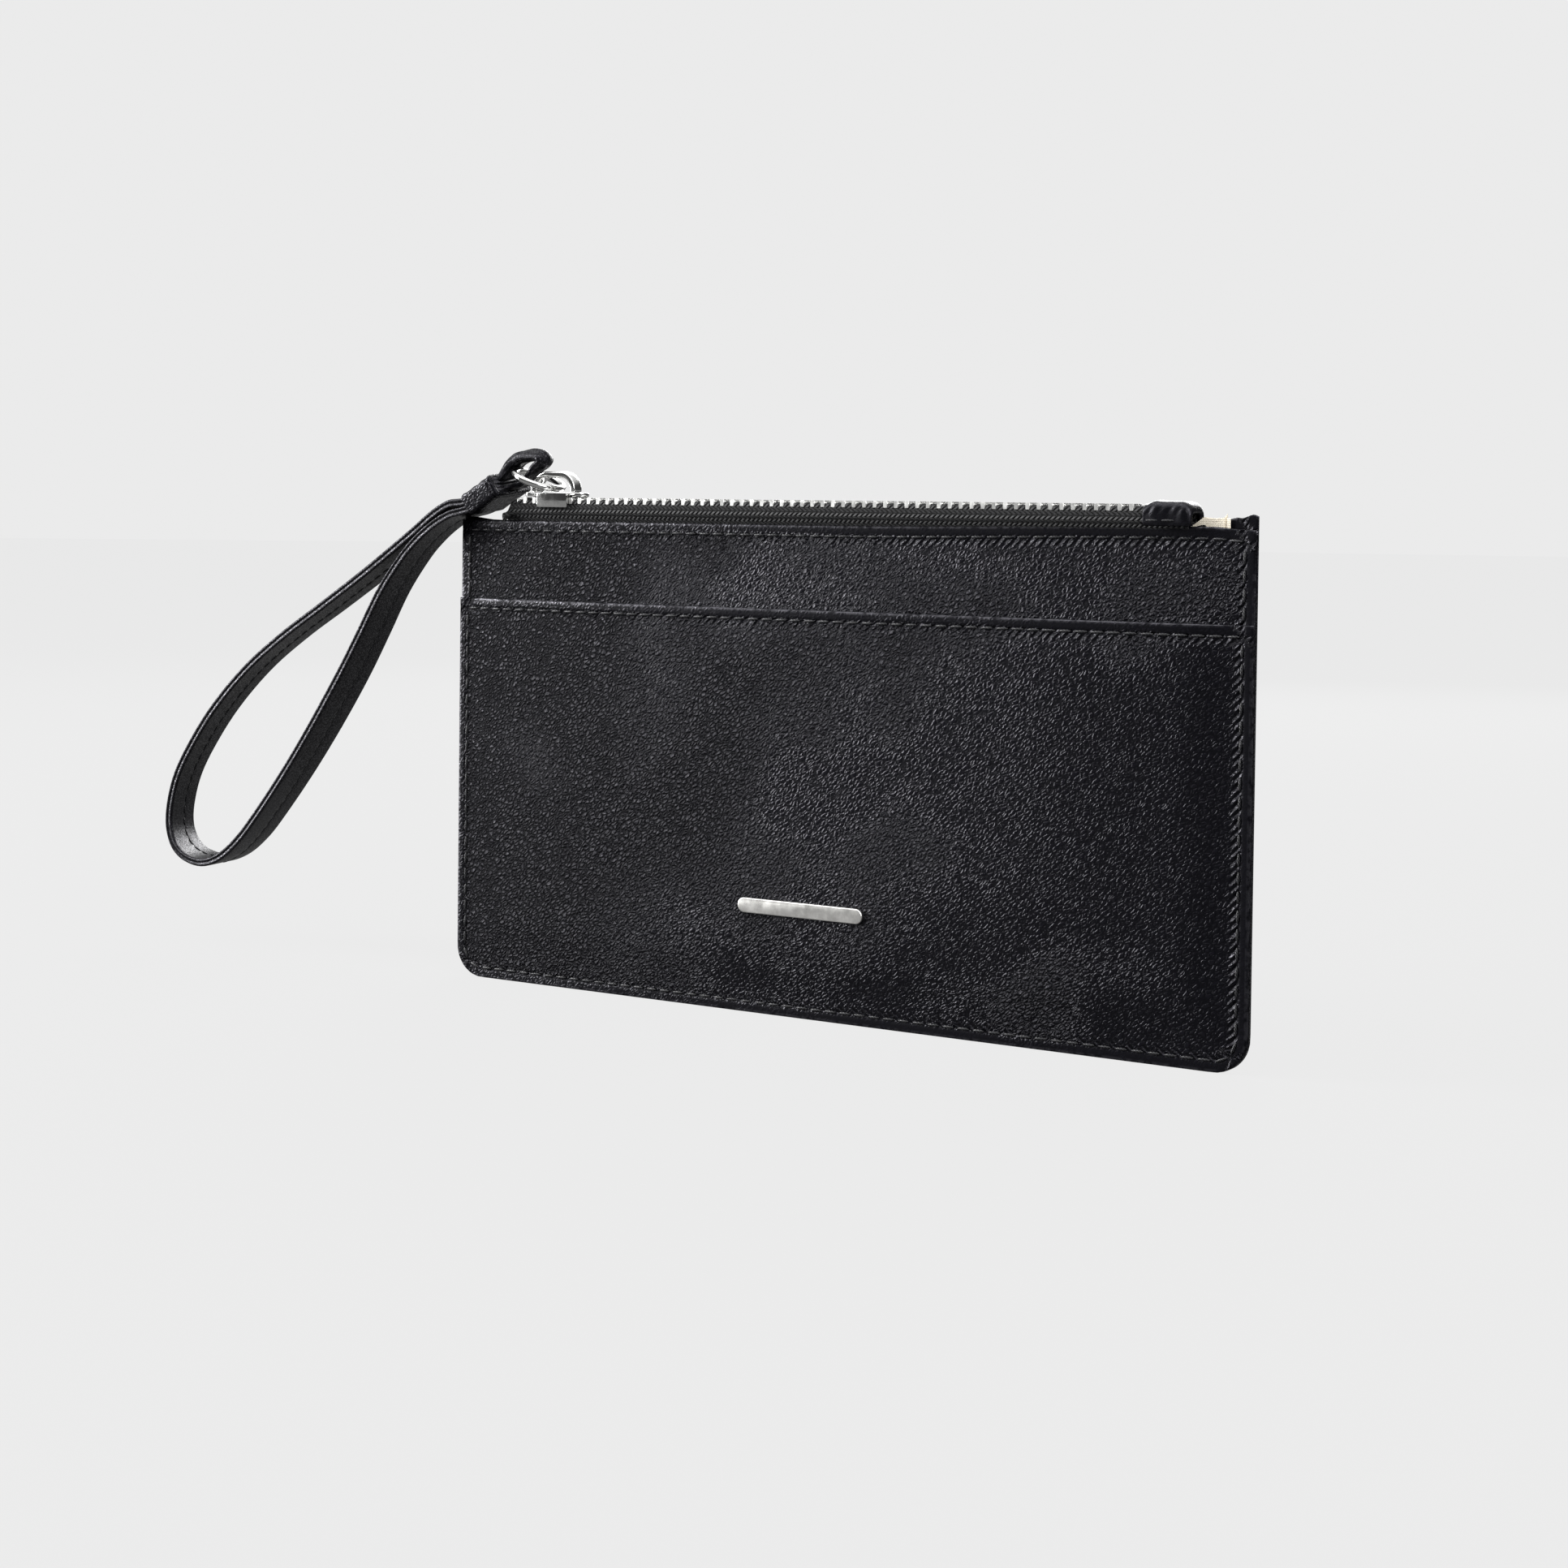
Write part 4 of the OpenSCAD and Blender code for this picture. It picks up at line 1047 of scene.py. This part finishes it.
stitchPoints, stitchAims = [], []
for side, first, last in ((-1, 0.045, 0.955), (1, 0.10, 0.86)):
    count = int(travelled[-1] * (last - first) / strap["stitchPitch"])
    for s in np.linspace(first, last, count):
        centre, ahead = alongLoop(s, loopPath), alongLoop(s + 0.004, loopPath)
        across, away = alongLoop(s, loopAcross), alongLoop(s, loopAway)
        stitchPoints.append(centre + across * strap["seam"] + away * side * (strap["ply"] - 0.03))
        stitchAims.append((ahead - centre) / np.linalg.norm(ahead - centre))
strapSeam = stitches("strap_seam", stitchPoints, stitchAims, "strap_stitch", body="strap", length=2.1, width=0.42,
                     turn=0.14)
strapPieces.append(strapSeam)

print("eye and keeper")
eye = {  # each list of shares of the eye's length is followed by the values there
    "width": ([0, 0.07, 0.13, 0.22, 0.36, 0.5, 0.62, 0.74, 0.84, 0.9, 0.95, 1],
              [10.5, 8.6, 6.2, 4.9, 5.2, 5.7, 5.3, 4.4, 4.0, 4.2, 7.4, 9.5]),
    "outside": ([0, 0.1, 0.25, 0.36, 0.48, 0.56, 0.75, 1], [0.7, 1.2, 1.4, 1.05, 0.85, 0.6, 0.62, 0.7]),
    "inside": ([0, 0.1, 0.25, 0.36, 0.5, 0.62, 0.75, 1], [0.7, 0.95, 1.15, 1.45, 1.5, 0.9, 0.8, 0.7]),
    "creases": (0.15, 0.075),  # depth of the wide and the fine ones, as a share of the thickness
    "droop": 0.8,  # how far its edges hang down over the ring
}
eyeLine = curveThrough([keeperAt(-1, 1), keeperAt(1, 1, -2.0)] + [farWire + np.array(q) for q in eyeRoute]
                       + [keeperAt(1, -1, -2.0), keeperAt(-1, -1)], 9)


def eyePiece():
    # the strip bunched where it goes through the ring: narrow, thick and creased along its length
    length = np.concatenate([[0], np.cumsum(np.linalg.norm(np.diff(eyeLine, axis=0), axis=1))])
    s = length / length[-1]
    wide, thickOut, thickIn = (np.interp(s, *eye[key]) for key in ("width", "outside", "inside"))
    broad, fine = eye["creases"]
    path, across, away = frames(eyeLine, strap["keeperLean"] * (1 - smooth(0.06, 0.2, s) + smooth(0.84, 0.94, s)))
    a = np.linspace(0, 2 * math.pi, 56, endpoint=False)
    sections = np.zeros((len(s), len(a), 2))
    for i in range(len(s)):
        c, d = np.cos(a), np.sin(a)
        bunch = 1 - smooth(0.0, 0.16, abs(s[i] - 0.5) - 0.34)
        crease = 1 + bunch * (broad * np.cos(5 * a + 3.0 * s[i] * math.pi) + fine * np.cos(9 * a - 7 * s[i] + 1))
        x = np.sign(c) * np.abs(c) ** 0.75 * wide[i] / 2 * (0.97 + 0.03 * crease)
        y = np.sign(d) * np.abs(d) ** 0.75 * np.where(d > 0, thickOut[i], thickIn[i]) * crease
        droop = eye["droop"] * (2 * x / wide[i]) ** 2 * smooth(0.26, 0.42, s[i]) * (1 - smooth(0.6, 0.72, s[i]))
        sections[i] = np.stack([x, y - droop], 1)
    piece = sweep("strap_eye_leather", path, across, away, sections, strapLeather)
    return settleOn(piece, "strap", "strap_leather", "strap_eye")


strapPieces.append(eyePiece())
keeperSizes = {
    "wall": 0.75,
    "slack": 0.03,  # between the band and the strands
    "wrinkle": 0.13,
    # places along half its length, and the wall's thickness there as a share of the whole
    "places": [-1, -0.985, -0.94, -0.88, -0.8, -0.6, -0.35, -0.1, 0.15, 0.4, 0.58, 0.68, 0.735, 0.79, 0.86,
               0.93, 0.98, 1],
    "swell": {0: 0.35, 1: 0.7, 2: 0.93, 3: 1.04, 11: 1.05, 12: 0.78, 13: 1.12, 14: 1.2, 15: 1.1, 16: 0.8,
              17: 0.4},
    "outerPower": 0.28,  # how square the band is: 1 is round, 0 square
    "innerPower": 0.12,
}


def rounded(angles, power):
    # a circle pushed out towards a square, as across and away
    c, d = np.cos(angles), np.sin(angles)
    return np.sign(c) * np.abs(c) ** power, np.sign(d) * np.abs(d) ** power


def keeperPiece():
    # a close band round both strands, its edges turned and its skin wrinkled
    slack, swell = keeperSizes["slack"], keeperSizes["swell"]
    halfHole = np.array([strap["width"] / 2 + slack, 2 * strap["ply"] + strap["strandGap"] / 2 + slack])
    stops = strap["keeperLength"] / 2 * np.array(keeperSizes["places"])
    a = np.linspace(0, 2 * math.pi, 72, endpoint=False)
    outerX, outerY = rounded(a, keeperSizes["outerPower"])
    innerX, innerY = rounded(a, keeperSizes["innerPower"])
    outerRows = []
    for i, u in enumerate(stops):
        calm = 0.3 if i in swell else 1
        ripple = keeperSizes["wrinkle"] * np.sin(u * 2.1 + 3 * np.sin(a * 2)) * smooth(-1, 0.4, np.sin(a)) * calm
        half = halfHole + keeperSizes["wall"] * swell.get(i, 1.0)
        outerRows.append(np.stack([outerX * half[0], outerY * (half[1] + ripple)], 1))
    order = outerRows + [np.stack([innerX * halfHole[0], innerY * halfHole[1]], 1)] * len(stops)
    along = np.concatenate([stops, stops[::-1]])
    path = np.array([[keeperCentre[0] + keeperAxis[0] * u, 0, keeperCentre[1] + keeperAxis[1] * u] for u in along])
    keeperLine = keeperCentre + keeperAxis * np.array([-1.0, 0.0, 1.0])[:, None]
    acrossLine, awayLine = frames(keeperLine, np.full(3, strap["keeperLean"]))[1:]
    across = np.tile(acrossLine[1], (len(along), 1))
    away = np.tile(awayLine[1] if awayLine[1, 2] > 0 else -awayLine[1], (len(along), 1))
    piece = sweep("strap_keeper_band", path, across, away, np.array(order), keeperLeather, closed=True)
    return settleOn(piece, "strap", "strap_leather", "strap_keeper")


keeper = keeperPiece()

# the strap's two plies, its seam and the keeper each get a mesh of their own
for piece in strapPieces[:3]:
    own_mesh(piece)
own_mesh(keeper)

print("plain inner pieces")
for name, material in (("seam_core", pouchLeather), ("badge_washers", toothMetal)):
    mesh = nodes[name].data
    mesh.materials.clear()
    mesh.materials.append(material)

print("room and light")
room = {
    "grey": 0.83,  # the backdrop as the camera sees it
    "floorBase": 0.015,
    "floorGlow": 0.80,  # the floor as the camera sees it
    "floorBounce": 0.24,  # what the floor sends up to the object
    "ambient": 0.06,  # light from the room near the ground, and from above
    "sky": 1.3,
}


def floorPiece():
    mesh = bpy.data.meshes.new("floor")
    work = bmesh.new()
    bmesh.ops.create_circle(work, cap_ends=True, segments=96, radius=7.0)
    work.to_mesh(mesh)
    work.free()
    floor = bpy.data.objects.new("floor", mesh)
    bpy.context.scene.collection.objects.link(floor)
    floor.location = (0, 0, -0.00005)
    material, tree, shader = newMaterial("paleFloor", (room["floorBase"],) * 3, 1.0, specular=0.0)
    place = node(tree, "ShaderNodeTexCoord").outputs["Object"]
    dust = node(tree, "ShaderNodeTexNoise", None, Vector=place, Scale=3.0, Detail=2.0)
    tone = blendColors(tree, dust.outputs["Fac"], (room["floorBase"] * 0.99,) * 3, (room["floorBase"] * 1.01,) * 3)
    tree.links.new(tone, shader.inputs["Base Color"])
    shader.inputs["Emission Color"].default_value = (1, 1, 1, 1)
    seen = node(tree, "ShaderNodeLightPath").outputs["Is Camera Ray"]
    glow = node(tree, "ShaderNodeMapRange", None, Value=seen, To_Min=room["floorBounce"], To_Max=room["floorGlow"])
    tree.links.new(glow.outputs[0], shader.inputs["Emission Strength"])
    mesh.materials.append(material)


floorPiece()

world = bpy.data.worlds.new("studio")
bpy.context.scene.world = world
world.use_nodes = True
dome = world.node_tree
lightPath = node(dome, "ShaderNodeLightPath")
direction = node(dome, "ShaderNodeTexCoord").outputs["Generated"]
upward = node(dome, "ShaderNodeSeparateXYZ", None, Vector=direction).outputs["Z"]
sky = blendColors(dome, ramp(dome, upward, 0.25, 0.9), (room["ambient"],) * 3, (room["sky"],) * 3)
shade = blendColors(dome, lightPath.outputs["Is Camera Ray"], sky, (room["grey"],) * 3)
dome.links.new(shade, dome.nodes["Background"].inputs["Color"])

softboxes = {  # place, what it is aimed at, width and height, power
    "leftSoftbox": ((-1.20, -0.56, 0.38), (-0.06, 0, 0.06), (0.45, 0.85), 36),
    "topSoftbox": ((-0.1, -0.45, 1.3), (0, 0, 0.05), (1.9, 1.0), 13),
    "rightSoftbox": ((1.0, -0.50, 0.60), (0.05, 0, 0.06), (0.7, 0.7), 9),
    "backSoftbox": ((-0.35, 1.0, 0.5), (0, 0, 0.05), (0.9, 0.6), 13),
}


def areaLight(name, place, aim, size, power):
    data = bpy.data.lights.new(name, "AREA")
    data.shape = "RECTANGLE"
    data.size, data.size_y = size
    data.energy = power
    lamp = bpy.data.objects.new(name, data)
    bpy.context.scene.collection.objects.link(lamp)
    lamp.location = place
    lamp.rotation_euler = (Vector(aim) - Vector(place)).to_track_quat("-Z", "Y").to_euler()


for name, setting in softboxes.items():
    areaLight(name, *setting)

print("camera")
cameraSizes = {
    "place": (0.31374, -0.49707, 0.10815),
    "azimuth": 0.5774904,  # radians
    "elevation": 0.0297739,
    "roll": 0.0120534,
    "lens": 64.39,
    "sensor": 36,
    "shift": -0.1242,
}
azimuth, elevation, roll = (cameraSizes[key] for key in ("azimuth", "elevation", "roll"))
back = Vector((math.sin(azimuth) * math.cos(elevation), -math.cos(azimuth) * math.cos(elevation),
               math.sin(elevation)))
right = (-back).cross(Vector((0, 0, 1))).normalized()
up = right.cross(-back)
rolledRight = right * math.cos(roll) + up * math.sin(roll)
rolledUp = up * math.cos(roll) - right * math.sin(roll)
cameraData = bpy.data.cameras.new("camera")
cameraData.lens = cameraSizes["lens"]
cameraData.sensor_width = cameraSizes["sensor"]
cameraData.shift_y = cameraSizes["shift"]
cameraData.clip_start = 0.01
camera = bpy.data.objects.new("camera", cameraData)
bpy.context.scene.collection.objects.link(camera)
turn = Matrix((rolledRight, rolledUp, back)).transposed().to_4x4()
camera.matrix_world = Matrix.Translation(cameraSizes["place"]) @ turn
bpy.context.scene.camera = camera
bpy.context.scene.view_settings.view_transform = "Standard"
